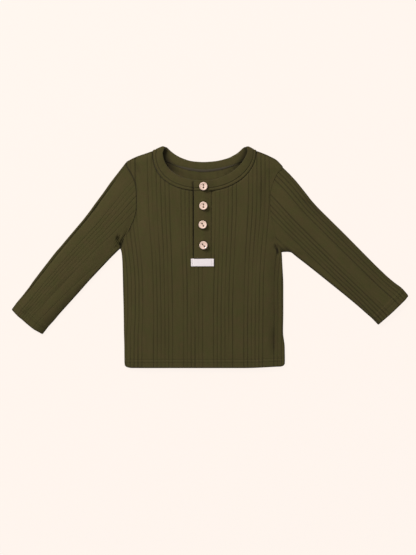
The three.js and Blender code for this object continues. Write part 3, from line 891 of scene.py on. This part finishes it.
# Where a sleeve starts and runs, measured across it from the upper fold and along it from the shoulder
def sleeveFrame(sleeve):
    edge, turn = sleeve["edge"], sleeve["turn"]
    points = [Vector((edge(y) - turn * knit["seam"], y)) for y in evenly(sleeve["tip"], sleeve["underarm"], 40)]
    origin = points[0]
    along = Vector(sleeve["corner"]) - origin
    length = along.length
    along.normalize()
    across = Vector((-along.y * turn, along.x * turn))
    armhole = [((point - origin).dot(across), (point - origin).dot(along)) for point in points]
    rising = [armhole[0]]
    for pair in armhole[1:]:
        if pair[0] > rising[-1][0] + 0.05:
            rising.append(pair)
    base = {"origin": origin, "along": along, "across": across, "length": length}
    base["span"] = length - sleeveLook["hem"]
    base["armholeWidth"] = rising[-1][0]
    base["armhole"] = curveThrough(rising)
    for table in ("bow", "underBow", "cuffBulge"):
        base[table] = curveThrough(sleeve[table])
    return base


def bowAt(base, reach, share):
    return base["bow"](reach) * (1 - share) - base["underBow"](reach) * share


# Height of a sleeve's upper layer before its ribs, with the nearest fold's distance
def sleeveTop(foot, nearest, step):
    puff = knit["puff"] * smoothstep(nearest, 0, sleeveLook["puffReach"])
    air = knit["seam"] + puff * smoothstep(step, 0, sleeveLook["puffBy"])
    wave = sleeveLook["wave"] * softNoise(foot.x * 0.024, foot.y * 0.024, 8.2) * smoothstep(nearest, 2, 12)
    return knit["wall"] * 2 + knit["rib"] + air + wave


# One ring of a sleeve. It goes below the sleeve to the upper fold, and comes back over the top. Up to the
# hem its place is a share of the way, and on the hem it is a distance.
def sleeveRing(sleeve, base, topColumns, lowColumns, step, distance=None, inset=0, sink=0, tuckBy=0):
    rim = max(0.2, sleeveLook["rim"] - inset)
    flared = sleeve["flare"] * max(0, 1 - step / sleeveLook["flareLength"]) ** 1.5
    width = lerp(base["armholeWidth"] - sleeve["flare"], sleeve["cuffWidth"], step) + flared
    shrink = 1 - sleeve["taper"] * step
    onHem = distance is not None
    isOutside = inset == 0

    def spot(across):
        share = clamp(across / width)
        start = base["armhole"](share * base["armholeWidth"])
        reach = distance if onHem else lerp(start, base["span"], step)
        bowed = bowAt(base, reach, share)
        reach += step * base["cuffBulge"](share)
        under = Vector((sleeve["turn"] * tuckBy, 0))
        return base["origin"] + base["along"] * reach + base["across"] * (across + bowed) + under

    def pointAt(across, upper, lift):
        foot = spot(across)
        u = (across + sleeve["drift"] * step) / shrink
        swayed = u + 0.5 * softNoise(foot.x * 0.02, foot.y * 0.02, 5.5)
        sunk = clamp(0.9 + 0.9 * softNoise(u * 0.3, foot.y * 0.012, 3), 0.2, 1.5)
        groove = grooveAt(sleeve["grooves"], swayed, ribs["halfWidth"] / shrink) * sunk
        broad = grooveAt(sleeve["grooves"], swayed, ribs["shadeHalfWidth"] / shrink) * sunk
        fall = creaseDepth(sleeve["creases"], foot.x, foot.y)
        # Painted shade in the grooves and creases, along both folds, at the hem's stitches and end, and at the
        # armhole seam
        shade = sleeve["ribShade"] * (0.5 * groove + 0.6 * broad) + 0.9 * fall
        shade += 0.9 * bump(across, 1.6) + 1.9 * bump(width - across, 1.9)
        top = sleeveTop(foot, min(across, width - across), step) - inset - fall
        bottom = inset * 0.7
        if isOutside:
            top -= sleeve["rib"] * groove
            bottom += 0.25 * groove
        if onHem:
            fromEnd = base["length"] - distance
            stitched = max(bump(fromEnd - line, sewing["width"]) for line in sleeveLook["stitches"])
            top += hem["fold"] - sleeveLook["stitchSink"] * stitched
            shade += 0.5 * stitched + 1.1 * bump(fromEnd, 1.3)
        else:
            shade += sleeve["seamShade"] * armholeFade(foot.y) * bump(step * base["span"], 1.3)
        middle = (knit["wall"] * 2 + knit["rib"] + knit["seam"]) / 2
        z = lerp(middle, lerp(top if upper else bottom, middle, sink), lift)
        along = distance if onHem else base["length"] * step
        # The cuff's inside gets an even painted shade
        cloth = Vector((u if upper else -u, along, shade if isOutside else 1.5))
        return (foot.x, foot.y, max(0, z)), cloth

    def fitted(columns):
        places = [u * shrink - sleeve["drift"] * step for u in columns]
        return fitColumns(places, inset + rim, width - inset - rim, sleeveLook["margin"])

    turns = [i / 6 * math.pi / 2 for i in range(6)]
    rounded = [(rim * (1 - math.cos(turn)), math.sin(turn)) for turn in turns]
    ring = [pointAt(across, False, 1) for across in reversed(fitted(lowColumns))]
    ring += [pointAt(inset + away, False, lift) for away, lift in reversed(rounded)]
    ring += [pointAt(inset + away, True, lift) for away, lift in rounded[1:]]
    ring += [pointAt(across, True, 1) for across in fitted(topColumns)]
    ring += [pointAt(width - inset - away, True, lift) for away, lift in reversed(rounded)]
    ring += [pointAt(width - inset - away, False, lift) for away, lift in rounded[1:]]
    return ring + [ring[0]]


def sleevePiece(name, node):
    sleeve = sleeves[node]
    base = sleeveFrame(sleeve)
    widest = base["armholeWidth"] + 2
    topColumns = ribColumns(sleeve["grooves"], -2, widest, grooveOffsets, 1.9)
    lowColumns = ribColumns(sleeve["grooves"], -2, widest, [-0.8, 0, 0.8], 3)
    span, length = base["span"], base["length"]

    def ring(step, **settings):
        return sleeveRing(sleeve, base, topColumns, lowColumns, step, **settings)

    rings = [ring(0, sink=1, tuckBy=sleeveLook["tuck"]), ring(0, sink=0.25 + sleeve["seamSink"], tuckBy=0.2)]
    starts = [0.25, 0.6, 1.1, 1.8, 2.8, 4.2, 6]
    for start in starts:
        rings.append(ring(start / span, sink=sleeve["seamSink"] * (1 - smoothstep(start, 0, 1.3))))
    rings += [ring(step) for step in evenly(starts[-1] / span, 1, sleeveLook["rings"])[1:]]
    for fromEnd in (12.7, 12.2, 11.7, 10.6, 9.1, 8.6, 8.1, 6.5, 4.5, 2.6, 1.4):
        rings.append(ring(1, distance=length - fromEnd))
    # The cuff's end turns in to its lining
    for fromEnd, inset in ((0.85, 0.02), (0.3, 0.3), (0.06, 0.6), (0, 0.9), (0.1, 1.2), (0.4, 1.5), (1.2, 1.7)):
        rings.append(ring(1, distance=length - fromEnd, inset=inset))
    rings.append(ring(1, distance=length - sleeveLook["lining"], inset=sleeveLook["inside"]))
    mesh = shell(rings, faceUp=sleeve["turn"] < 0)
    piece = makePiece(name, mesh, clothMaterial, node)
    print(name, "made")
    return piece, base


rightSleeve, rightBase = sleevePiece("rightSleeve", "right_sleeve")
leftSleeve, leftBase = sleevePiece("leftSleeve", "left_sleeve")

# Neckband

band = {
    "backMiddle": 0.95,
    "frontMiddle": 3.15,
    "overlapLift": 2.2,
    "leftEnd": 98.6,
    "leftEndTurn": 4,
    "rightEnd": 86,
    "liftFrom": 76,
    "liftTo": 86,
    "foldLift": 2.4,
    "foldLiftFrom": 6,
    "foldLiftTo": 42,
    "corner": 5.5,
    "tipRound": 2.2,
    "stitchLine": 0.72,
    "half": 0.95,
    "endRim": 0.8,
    "rightHalfFrom": 200,
}


# Across the band from its free edge over the face to the seam, then back under it: share and height
def bandProfile():
    face = []
    for share in evenly(0, 1, 40):
        height = band["half"] * min(rimAt(share, 0.085), rimAt(1 - share, 0.05))
        height -= 0.6 * bump(share - band["stitchLine"], 0.026)
        height += 0.14 * bump(share - 0.36, 0.2) + 0.16 * bump(share - 0.86, 0.08)
        face.append((share, height))
    under = []
    for share in (0.97, 0.93, 0.8, 0.6, 0.4, 0.2, 0.08, 0.04):
        under.append((share, -band["half"] * min(rimAt(share, 0.085), rimAt(1 - share, 0.05))))
    return face + under + [face[0]]


profile = bandProfile()


# How far the front's free edge stands off at the two ends of the neck, where the band turns over
def foldLiftAt(angle):
    return band["foldLift"] * (1 - smoothstep(min(angle, 180 - angle), band["foldLiftFrom"], band["foldLiftTo"]))


def overlapAt(angle):
    return band["overlapLift"] * smoothstep(angle, band["liftFrom"], band["liftTo"])


# Painted shadow on the cloth close round the buttons
def buttonShade(x, y):
    return sum(1.9 * bump(math.hypot(x - spec["x"], y - spec["y"]) - 5.5, 0.9) for spec in buttons)


def outwardOf(free, seam):
    outward = Vector((free.y - seam.y, seam.x - free.x, 0)).normalized()
    if outward.y < 0:
        outward.negate()
    return outward


# One section across the band. Its free edge is higher than its seam by the lift.
def bandSection(free, seam, middle, lift, tilt, travelled, thin, trim):
    outward = outwardOf(free, seam)
    sin, cos = math.sin(math.radians(tilt)), math.cos(math.radians(tilt))
    width = (seam - free).length
    start = free.lerp(seam, clamp(trim / width))
    points = []
    for share, height in profile:
        foot = start.lerp(seam, share) + outward * (height * thin * sin)
        ripple = 0.12 * softNoise(travelled * 0.12, share * 2, 6) if height > 0 else 0
        z = middle + lift * (1 - share) + (height * thin + ripple) * cos
        # Painted shade: on the back band under the front's ends and towards its seam; on the front band along the
        # stitch line, both edges, the thinned ends and round the top button
        if tilt == 180:
            shade = neckShade(foot.x, foot.y) + 0.9 * bump(1 - share, 0.2)
        else:
            shade = 1.9 * bump(share - band["stitchLine"], 0.034) + 0.9 * bump(share, 0.05)
            shade += 1.4 * bump(1 - share, 0.05) * (1 - 0.6 * smoothstep(foot.y, 118, 132))
            shade += 1.1 * (1 - thin) + buttonShade(foot.x, foot.y)
            # Painted shadow on the right half beside the end of the left half, which lies over it
            if travelled > band["rightHalfFrom"]:
                shade += 2.8 * bump(max(0, slit["left"] - 0.7 - foot.x), 1.5) * smoothstep(share, 0.04, 0.3)
        points.append(((foot.x, foot.y, max(0.02, z)), Vector((travelled, share * width, shade))))
    return points


# Along the seam from an angle to one of the band's ends
def toEnd(angle, end):
    return (neckPoint(neck["frontSeam"], end) - neckPoint(neck["frontSeam"], angle)).length


# The band runs from its left end over the left front, folds over to the back, and returns on the right
def bandRows():
    plan = []
    leftAngles = [band["leftEnd"] - step for step in (0, 0.15, 0.45, 0.9, 1.4, 2, 2.7, 3.6, 4.6, 6)]
    leftAngles += [lerp(leftAngles[-1], 0, (i / 62) ** 0.9) for i in range(1, 63)]
    for angle in leftAngles:
        away = toEnd(angle, band["leftEnd"])
        corner = band["corner"]
        trim = corner - math.sqrt(max(0, corner**2 - max(0, corner - away) ** 2))
        turn = band["leftEndTurn"] * smoothstep(angle, band["liftTo"], band["leftEnd"])
        plan.append(("front", angle, turn, overlapAt(angle), 0, rimAt(away + 0.02, band["endRim"]), trim))
    plan += [("fold", 0, 0, 0, tilt, 1, 0) for tilt in range(20, 180, 20)]
    plan += [("back", 180 * i / 120, 0, 0, 180, 1, 0) for i in range(121)]
    plan += [("fold", 180, 0, 0, tilt, 1, 0) for tilt in range(160, 0, -20)]
    rightAngles = [lerp(180, 87.5, (i / 62) ** 1.1) for i in range(63)] + [87, 86.6, 86.3, 86.1, 86]
    for angle in rightAngles:
        thin = rimAt(toEnd(angle, band["rightEnd"]) + 0.02, band["endRim"])
        plan.append(("front", angle, 0, 0, 0, thin, 0))
    radius = (band["frontMiddle"] - band["backMiddle"]) / 2
    rows = []
    travelled = 0
    previous = None
    for kind, angle, turn, raised, tilt, thin, trim in plan:
        free, seam = neckPair("back" if kind == "back" else "front", angle, turn)
        over = (1 + math.cos(math.radians(tilt))) / 2
        middle = lerp(band["backMiddle"], band["frontMiddle"], over) + raised
        if kind == "fold":
            out = outwardOf(free, seam) * (radius * math.sin(math.radians(tilt)))
            free, seam = free + out, seam + out
            trim = band["tipRound"] * math.sin(math.radians(tilt)) ** 1.4
        centre = (free + seam) / 2 + Vector((0, 0, middle))
        if previous is not None:
            travelled += (centre - previous).length
        previous = centre
        lift = 0 if kind == "back" else foldLiftAt(angle) * over
        rows.append(bandSection(free, seam, middle, lift, tilt, travelled, thin, trim))
    return rows, travelled


bandPoints, bandLength = bandRows()
bandMesh = shell(bandPoints, faceUp=False)
bmesh.ops.holes_fill(bandMesh, edges=[edge for edge in bandMesh.edges if edge.is_boundary], sides=0)
bmesh.ops.recalc_face_normals(bandMesh, faces=bandMesh.faces)
neckband = makePiece("neckBinding", bandMesh, clothMaterial, "neckband")
print("neckband made, length", round(bandLength))

# Placket

placket = {
    "left": -21.4,
    "right": 2.0,
    "underRight": -2.2,
    "top": 89.2,
    "bottom": -1.9,
    "underBottom": -2.3,
    "thickness": 1.5,
    "pull": {"x": -8.6, "depth": 0.16, "reach": 7},
    "creases": [
        crease([(-18, 58), (-9, 55.5), (-3, 58.5)], 0.22, 1.3, 0.4),
        crease([(-16, 54), (-8, 51.5), (-3, 53)], 0.2, 1.2, 0.4),
        crease([(-19, 30), (-12, 27), (-4, 31)], 0.2, 1.6, 0.4),
        crease([(-12, 82), (-11, 76)], 0.18, 2, 0.4),
    ],
}


# A plain flat strip, given its face and lining heights
def stripMesh(left, right, bottom, top, columns, rows, layerAt, rim):
    def rowShare(i, count):
        share = i / count
        return share - 0.1 * math.sin(2 * math.pi * share)

    table = []
    for j in range(rows + 1):
        y = lerp(bottom, top, rowShare(j, rows))
        row = []
        for i in range(2 * columns + 1):
            isFace = i <= columns
            x = lerp(left, right, rowShare(i if isFace else 2 * columns - i, columns))
            face, lining = layerAt(x, y)
            nearest = min(x - left, right - x, y - bottom + 0.02, top - y + 0.02)
            z = lerp((face + lining) / 2, face if isFace else lining, rimAt(nearest, rim))
            # Painted shade along the strip's rims and round the buttons
            row.append(((x, y, z), Vector((x, y, 0.9 * bump(nearest, 0.8) + buttonShade(x, y)))))
        table.append(row)
    mesh = shell(table)
    closeEnds(mesh, columns + 1, columns)
    return mesh


def underLayer(x, y):
    base = frontUnder(x, y)
    return base + placket["thickness"], base


# The upper strip lies on the under one, and comes down to the front beyond it
def upperLayer(x, y):
    shelf = frontUnder(placket["underRight"], y) + placket["thickness"] + knit["seam"]
    down = smoothstep(x, placket["underRight"] - 7.5, placket["right"] - 0.2)
    face = lerp(shelf + placket["thickness"], frontUnder(x, y) + knit["wall"] + knit["rib"] - 0.1, down)
    lining = lerp(shelf, frontUnder(x, y), smoothstep(x, placket["underRight"] + 0.3, placket["right"] - 0.6))
    soft = 0.16 * softNoise(x * 0.08, y * 0.05, 2.2)
    pull = placket["pull"]
    places = [math.hypot(x - pull["x"], y - spec["y"]) for spec in buttons[1:]]
    pulled = sum(pull["depth"] * bump(away, pull["reach"]) for away in places)
    return face + soft - creaseDepth(placket["creases"], x, y) - pulled, lining


underMesh = stripMesh(
    placket["left"], placket["underRight"], placket["underBottom"], placket["top"], 16, 50, underLayer, 0.7
)
underPlacket = makePiece("underPlacket", underMesh, clothMaterial, "under_placket")
upperMesh = stripMesh(
    placket["left"], placket["right"], placket["bottom"], placket["top"], 46, 120, upperLayer, 0.75
)
upperPlacket = makePiece("upperPlacket", upperMesh, clothMaterial, "upper_placket")
print("placket made")

# Label

label = {"left": -25.1, "right": 5.5, "top": -2.1, "bottom": -12.3, "lift": 0.3, "thickness": 0.85, "seam": 2.4}
labelMaterial, labelShader, labelPlace = newMaterial("labelTape", {"Roughness": 0.72})
weave = labelPlace.add("ShaderNodeTexWave", {"bands_direction": "Y"}, {"Vector": labelPlace, "Scale": 900})
labelTint = noiseAt(labelPlace, 260) * 0.7 + weave * 0.3
feed(labelTint.mixColours((0.82, 0.73, 0.75, 1), (0.97, 0.90, 0.92, 1)), labelShader, "Base Color")
labelRelief = weave.add("ShaderNodeBump", {}, {"Height": weave, "Strength": 0.3, "Distance": 0.0001})
feed(labelRelief, labelShader, "Normal")


def labelLayer(x, y):
    under = frontUnder(x, y) + knit["wall"] + knit["rib"] + label["lift"]
    inset = label["seam"]
    tight = 0.35 * (bump(x - label["left"] - inset, 0.7) + bump(label["right"] - inset - x, 0.7))
    soft = 0.12 * softNoise(x * 0.16, y * 0.2, 1)
    return under + label["thickness"] - tight + soft, under - 0.1


labelMesh = stripMesh(label["left"], label["right"], label["bottom"], label["top"], 60, 18, labelLayer, 0.4)
labelPiece = makePiece("wovenLabel", labelMesh, labelMaterial, "label")

# Buttons

button = {
    "hole": 1.1,
    "spacing": 3.7,
    "profile": [
        (3.6, 1.72), (3.9, 1.8), (4.2, 2.05), (4.5, 2.19), (4.84, 2.17), (5.14, 1.98),
        (5.37, 1.6), (5.45, 1.1), (5.38, 0.6), (5.17, 0.22), (4.75, 0.04), (4.2, 0),
    ],
    "thread": {"strands": (-0.2, 0.04, 0.24), "height": 1.75, "half": 1.5, "length": 0.62, "width": 0.26},
}
buttonMaterial, buttonShader, buttonPlace = newMaterial("paleWood", {"Roughness": 0.5, "Coat Weight": 0.15})
grainPlace = buttonPlace.add("ShaderNodeMapping", {}, {"Vector": buttonPlace, "Scale": (1, 5, 1)})
grain = noiseAt(grainPlace, 260, 3.0) * 0.6 + noiseAt(buttonPlace, 700, 2.0) * 0.4
grain = (grain - 0.5) * 1.5 + 0.55
feed(grain.mixColours((0.72, 0.42, 0.32, 1), (1.0, 0.82, 0.71, 1)), buttonShader, "Base Color")
buttonThread = threadMaterial("buttonThread", (0.42, 0.29, 0.22, 1), 0.85)


def ringEdges(mesh, radius, z):
    found = []
    for edge in mesh.edges:
        if all(abs(vert.co.z - z) < 1e-6 and abs(vert.co.xy.length - radius) < 1e-5 for vert in edge.verts):
            found.append(edge)
    return found


# A turned rim round a flat face and a flat foot, with two holes bridged from one to the other
def buttonMesh(spec):
    mesh = bmesh.new()
    corners = [mesh.verts.new((radius, 0, z)) for radius, z in button["profile"]]
    lines = [mesh.edges.new(pair) for pair in zip(corners, corners[1:])]
    bmesh.ops.spin(mesh, geom=corners + lines, cent=(0, 0, 0), axis=(0, 0, 1), angle=2 * math.pi, steps=56,
                   use_merge=True)
    for radius, z in (button["profile"][0], button["profile"][-1]):
        ring = ringEdges(mesh, radius, z)
        for side in (-1, 1):
            place = Matrix.Translation((side * button["spacing"] / 2, 0, z))
            made = bmesh.ops.create_circle(mesh, radius=button["hole"], segments=16, matrix=place)
            ring += list({edge for vert in made["verts"] for edge in vert.link_edges})
        bmesh.ops.triangle_fill(mesh, edges=ring, use_beauty=True)
    holes = [edge for edge in mesh.edges if edge.is_boundary]
    bmesh.ops.bridge_loops(mesh, edges=[edge for edge in holes if edge.verts[0].co.x < 0])
    bmesh.ops.bridge_loops(mesh, edges=[edge for edge in mesh.edges if edge.is_boundary])
    bmesh.ops.recalc_face_normals(mesh, faces=mesh.faces)
    turn = Matrix.Rotation(math.radians(spec["turn"]), 4, "Z")
    place = Matrix.Scale(mm, 4) @ Matrix.Translation((spec["x"], spec["y"], spec["foot"])) @ turn
    bmesh.ops.transform(mesh, matrix=place, verts=mesh.verts)
    return mesh


# Strands that go from one hole over the middle and down into the other
def threadMesh(spec):
    thread = button["thread"]
    mesh = bmesh.new()
    turn = Vector((math.cos(math.radians(spec["turn"])), math.sin(math.radians(spec["turn"])), 0))
    side = Vector((-turn.y, turn.x, 0))
    centre = Vector((spec["x"], spec["y"], spec["foot"]))
    for offset in thread["strands"]:
        path = []
        for share in evenly(-1, 1, 8):
            height = thread["height"] + 0.3 * (1 - share**4) - 0.9 * max(0, abs(share) - 0.8) / 0.2
            aside = side * (offset * (1 - 0.2 * share * share))
            path.append(centre + turn * (share * thread["half"]) + aside + Vector((0, 0, height)))
        stitchRow(mesh, path, thread["length"], -0.1, thread["width"], thread["width"])
    return mesh


for spec in buttons:
    piece = makePiece(spec["node"].replace("_", ""), buttonMesh(spec), buttonMaterial, spec["node"])
    piece.data.set_sharp_from_angle(angle=math.radians(50))
    makePiece(piece.name + "Thread", threadMesh(spec), buttonThread)
print("buttons made")

# Sewing


def sewn(name, paths, material=threadCloth):
    mesh = bmesh.new()
    for path in paths:
        stitchRow(mesh, path, sewing["length"], sewing["gap"], sewing["width"], sewing["height"])
    return makePiece(name, mesh, material)


def hemPath(line):
    edges = rowEdges(line)
    y = line + front["threadAbove"]
    path = []
    for x in evenly(edges["left"] + 1.4, edges["right"] - 1.4, 159):
        path.append(Vector((x, y + hemShift(x, line), frontLayer(x, y, edges)[0] + 0.02)))
    return path


def cuffPath(sleeve, base, line):
    width = sleeve["cuffWidth"]
    reach = base["length"] - line
    path = []
    for across in evenly(1.6, width - 1.6, 39):
        share = across / width
        foot = base["origin"] + base["along"] * (reach + base["cuffBulge"](share))
        foot += base["across"] * (across + bowAt(base, reach, share))
        top = sleeveTop(foot, min(across, width - across), 1) + hem["fold"] - sleeveLook["stitchSink"]
        path.append(Vector((foot.x, foot.y, top - creaseDepth(sleeve["creases"], foot.x, foot.y))))
    return path


def bandPath(share, start, end, side, up):
    path = []
    for angle in evenly(start, end, 119):
        free, seam = neckPair(side, angle)
        height = band[side + "Middle"] + up
        if side == "front":
            height += foldLiftAt(angle) * (1 - share)
        if side == "front" and start > end:
            height += overlapAt(angle)
        path.append(free.lerp(seam, share) + Vector((0, 0, height)))
    return path


hemThread = sewn("hemStitches", [hemPath(line) for line in front["hemStitches"]])
cuffs = ((sleeves["right_sleeve"], rightBase), (sleeves["left_sleeve"], leftBase))
cuffPaths = [cuffPath(sleeve, base, line) for sleeve, base in cuffs for line in sleeveLook["stitches"]]
cuffThread = sewn("cuffStitches", cuffPaths)
bandThread = sewn("bandStitches", [
    bandPath(band["stitchLine"], 97, 4, "front", 0.42),
    bandPath(band["stitchLine"], 87, 176, "front", 0.42),
    bandPath(0.88, 8, 172, "back", 0.97),
])

# The tape that covers the back neck seam, seen through the neck
tape = {"half": 1.75, "z": 2.0, "from": 42, "to": 136, "taper": 26, "columns": 7, "rows": 81}
tapeMaterial = threadMaterial("neckTape", (0.072, 0.060, 0.038, 1), 0.9)


def tapePoint(column, row):
    angle = lerp(tape["from"], tape["to"], row / (tape["rows"] - 1))
    free, seam = neckPair("back", angle)
    outward = (seam - free).normalized()
    share = column / (tape["columns"] - 1) * 2 - 1
    half = tape["half"] * (0.1 + 0.9 * smoothstep(min(angle - tape["from"], tape["to"] - angle), 0, tape["taper"]))
    point = seam + outward * (share * half + 0.1)
    z = tape["z"] + 0.12 * (1 - share * share) - 0.5 * smoothstep(share, -0.2, 1)
    return (point.x, point.y, z), Vector((angle, share, 0))


neckTape = makePiece("neckTape", gridMesh(tape["columns"], tape["rows"], tapePoint), tapeMaterial)
labelThread = threadMaterial("labelThread", (0.75, 0.70, 0.71, 1), 0.8)
endSeams = []
for x in (label["left"] + label["seam"], label["right"] - label["seam"]):
    endSeams.append([Vector((x, y, labelLayer(x, y)[0] + 0.05)) for y in (-11.8, -9.6, -7.4, -5.2, -2.6)])
labelStitches = sewn("labelStitches", endSeams, labelThread)
print("sewing made")

# What each piece of cloth was cut from

panelArea = sum(rightEdge(y) - leftEdge(y) for y in [hem["y"] + 0.5 + i for i in range(291)])


def neckArea(curve):
    count = 200
    area = 0
    for i in range(count):
        here, after = neckPoint(curve, 180 * i / count), neckPoint(curve, 180 * (i + 1) / count)
        area += (here.x - after.x) * (curve["top"] - (here.y + after.y) / 2)
    return area


slitArea = (slit["right"] - slit["left"]) * slit["height"]
frontArea = (panelArea - neckArea(neck["frontSeam"]) - slitArea) * mm * mm
backArea = (panelArea - neckArea(neck["backSeam"])) * mm * mm
for piece, base, sleeve in ((rightSleeve, rightBase, "right_sleeve"), (leftSleeve, leftBase, "left_sleeve")):
    width = 2 * base["armholeWidth"]
    area = (base["armholeWidth"] + sleeves[sleeve]["cuffWidth"]) * (base["length"] - 20)
    width * mm
    base["length"] * mm
    area * mm * mm
    [cuffThread] if sleeve == "right_sleeve" else []
bandLength * mm

# Floor, light and camera

floorMaterial = newMaterial("paleFloor", {
    "Roughness": 0.9,
    "Specular IOR Level": 0.0,
    "Base Color": (0.05, 0.04, 0.035, 1),
    "Emission Color": (1.0, 0.918, 0.859, 1),
    "Emission Strength": 0.96,
})[0]
floorMesh = bmesh.new()
bmesh.ops.create_grid(floorMesh, x_segments=1, y_segments=1, size=3)
floor = addObject("floor", meshData("floor", floorMesh, floorMaterial))
floor.location.z = -0.0002
floor.visible_diffuse = False

studio = {
    "world": 0.36,
    "worldColour": (1, 0.985, 0.97, 1),
    "key": {"at": (-1.15, 1.5, 1.2), "size": 0.6, "power": 47, "colour": (1, 0.98, 0.95)},
    "fill": {"at": (1.4, -0.2, 1.8), "size": 1.6, "power": 6, "colour": (0.97, 0.98, 1)},
    "lens": 85,
    "sensor": 36,
    "aim": (-0.00235, -0.0272, 0.003),
    "viewHeight": 0.7437,  # how much of the floor the picture's longer side spans, in metres
}


def areaLight(name, spec):
    data = bpy.data.lights.new(name, "AREA")
    data.shape = "SQUARE"
    data.size = spec["size"]
    data.energy = spec["power"]
    data.color = spec["colour"]
    light = addObject(name, data)
    light.location = spec["at"]
    light.rotation_euler = (Vector((0, 0, 0)) - light.location).to_track_quat("-Z", "Y").to_euler()


areaLight("keyLight", studio["key"])
areaLight("fillLight", studio["fill"])
world = bpy.data.worlds.new("studio")
world.use_nodes = True
world.node_tree.nodes["Background"].inputs["Color"].default_value = studio["worldColour"]
world.node_tree.nodes["Background"].inputs["Strength"].default_value = studio["world"]
bpy.context.scene.world = world
bpy.context.scene.view_settings.view_transform = "Standard"

cameraData = bpy.data.cameras.new("camera")
cameraData.lens = studio["lens"]
cameraData.sensor_width = studio["sensor"]
cameraData.clip_end = 20
camera = addObject("camera", cameraData)
x, y, z = studio["aim"]
camera.location = (x, y, z + studio["lens"] / studio["sensor"] * studio["viewHeight"])
bpy.context.scene.camera = camera
print("stage made")
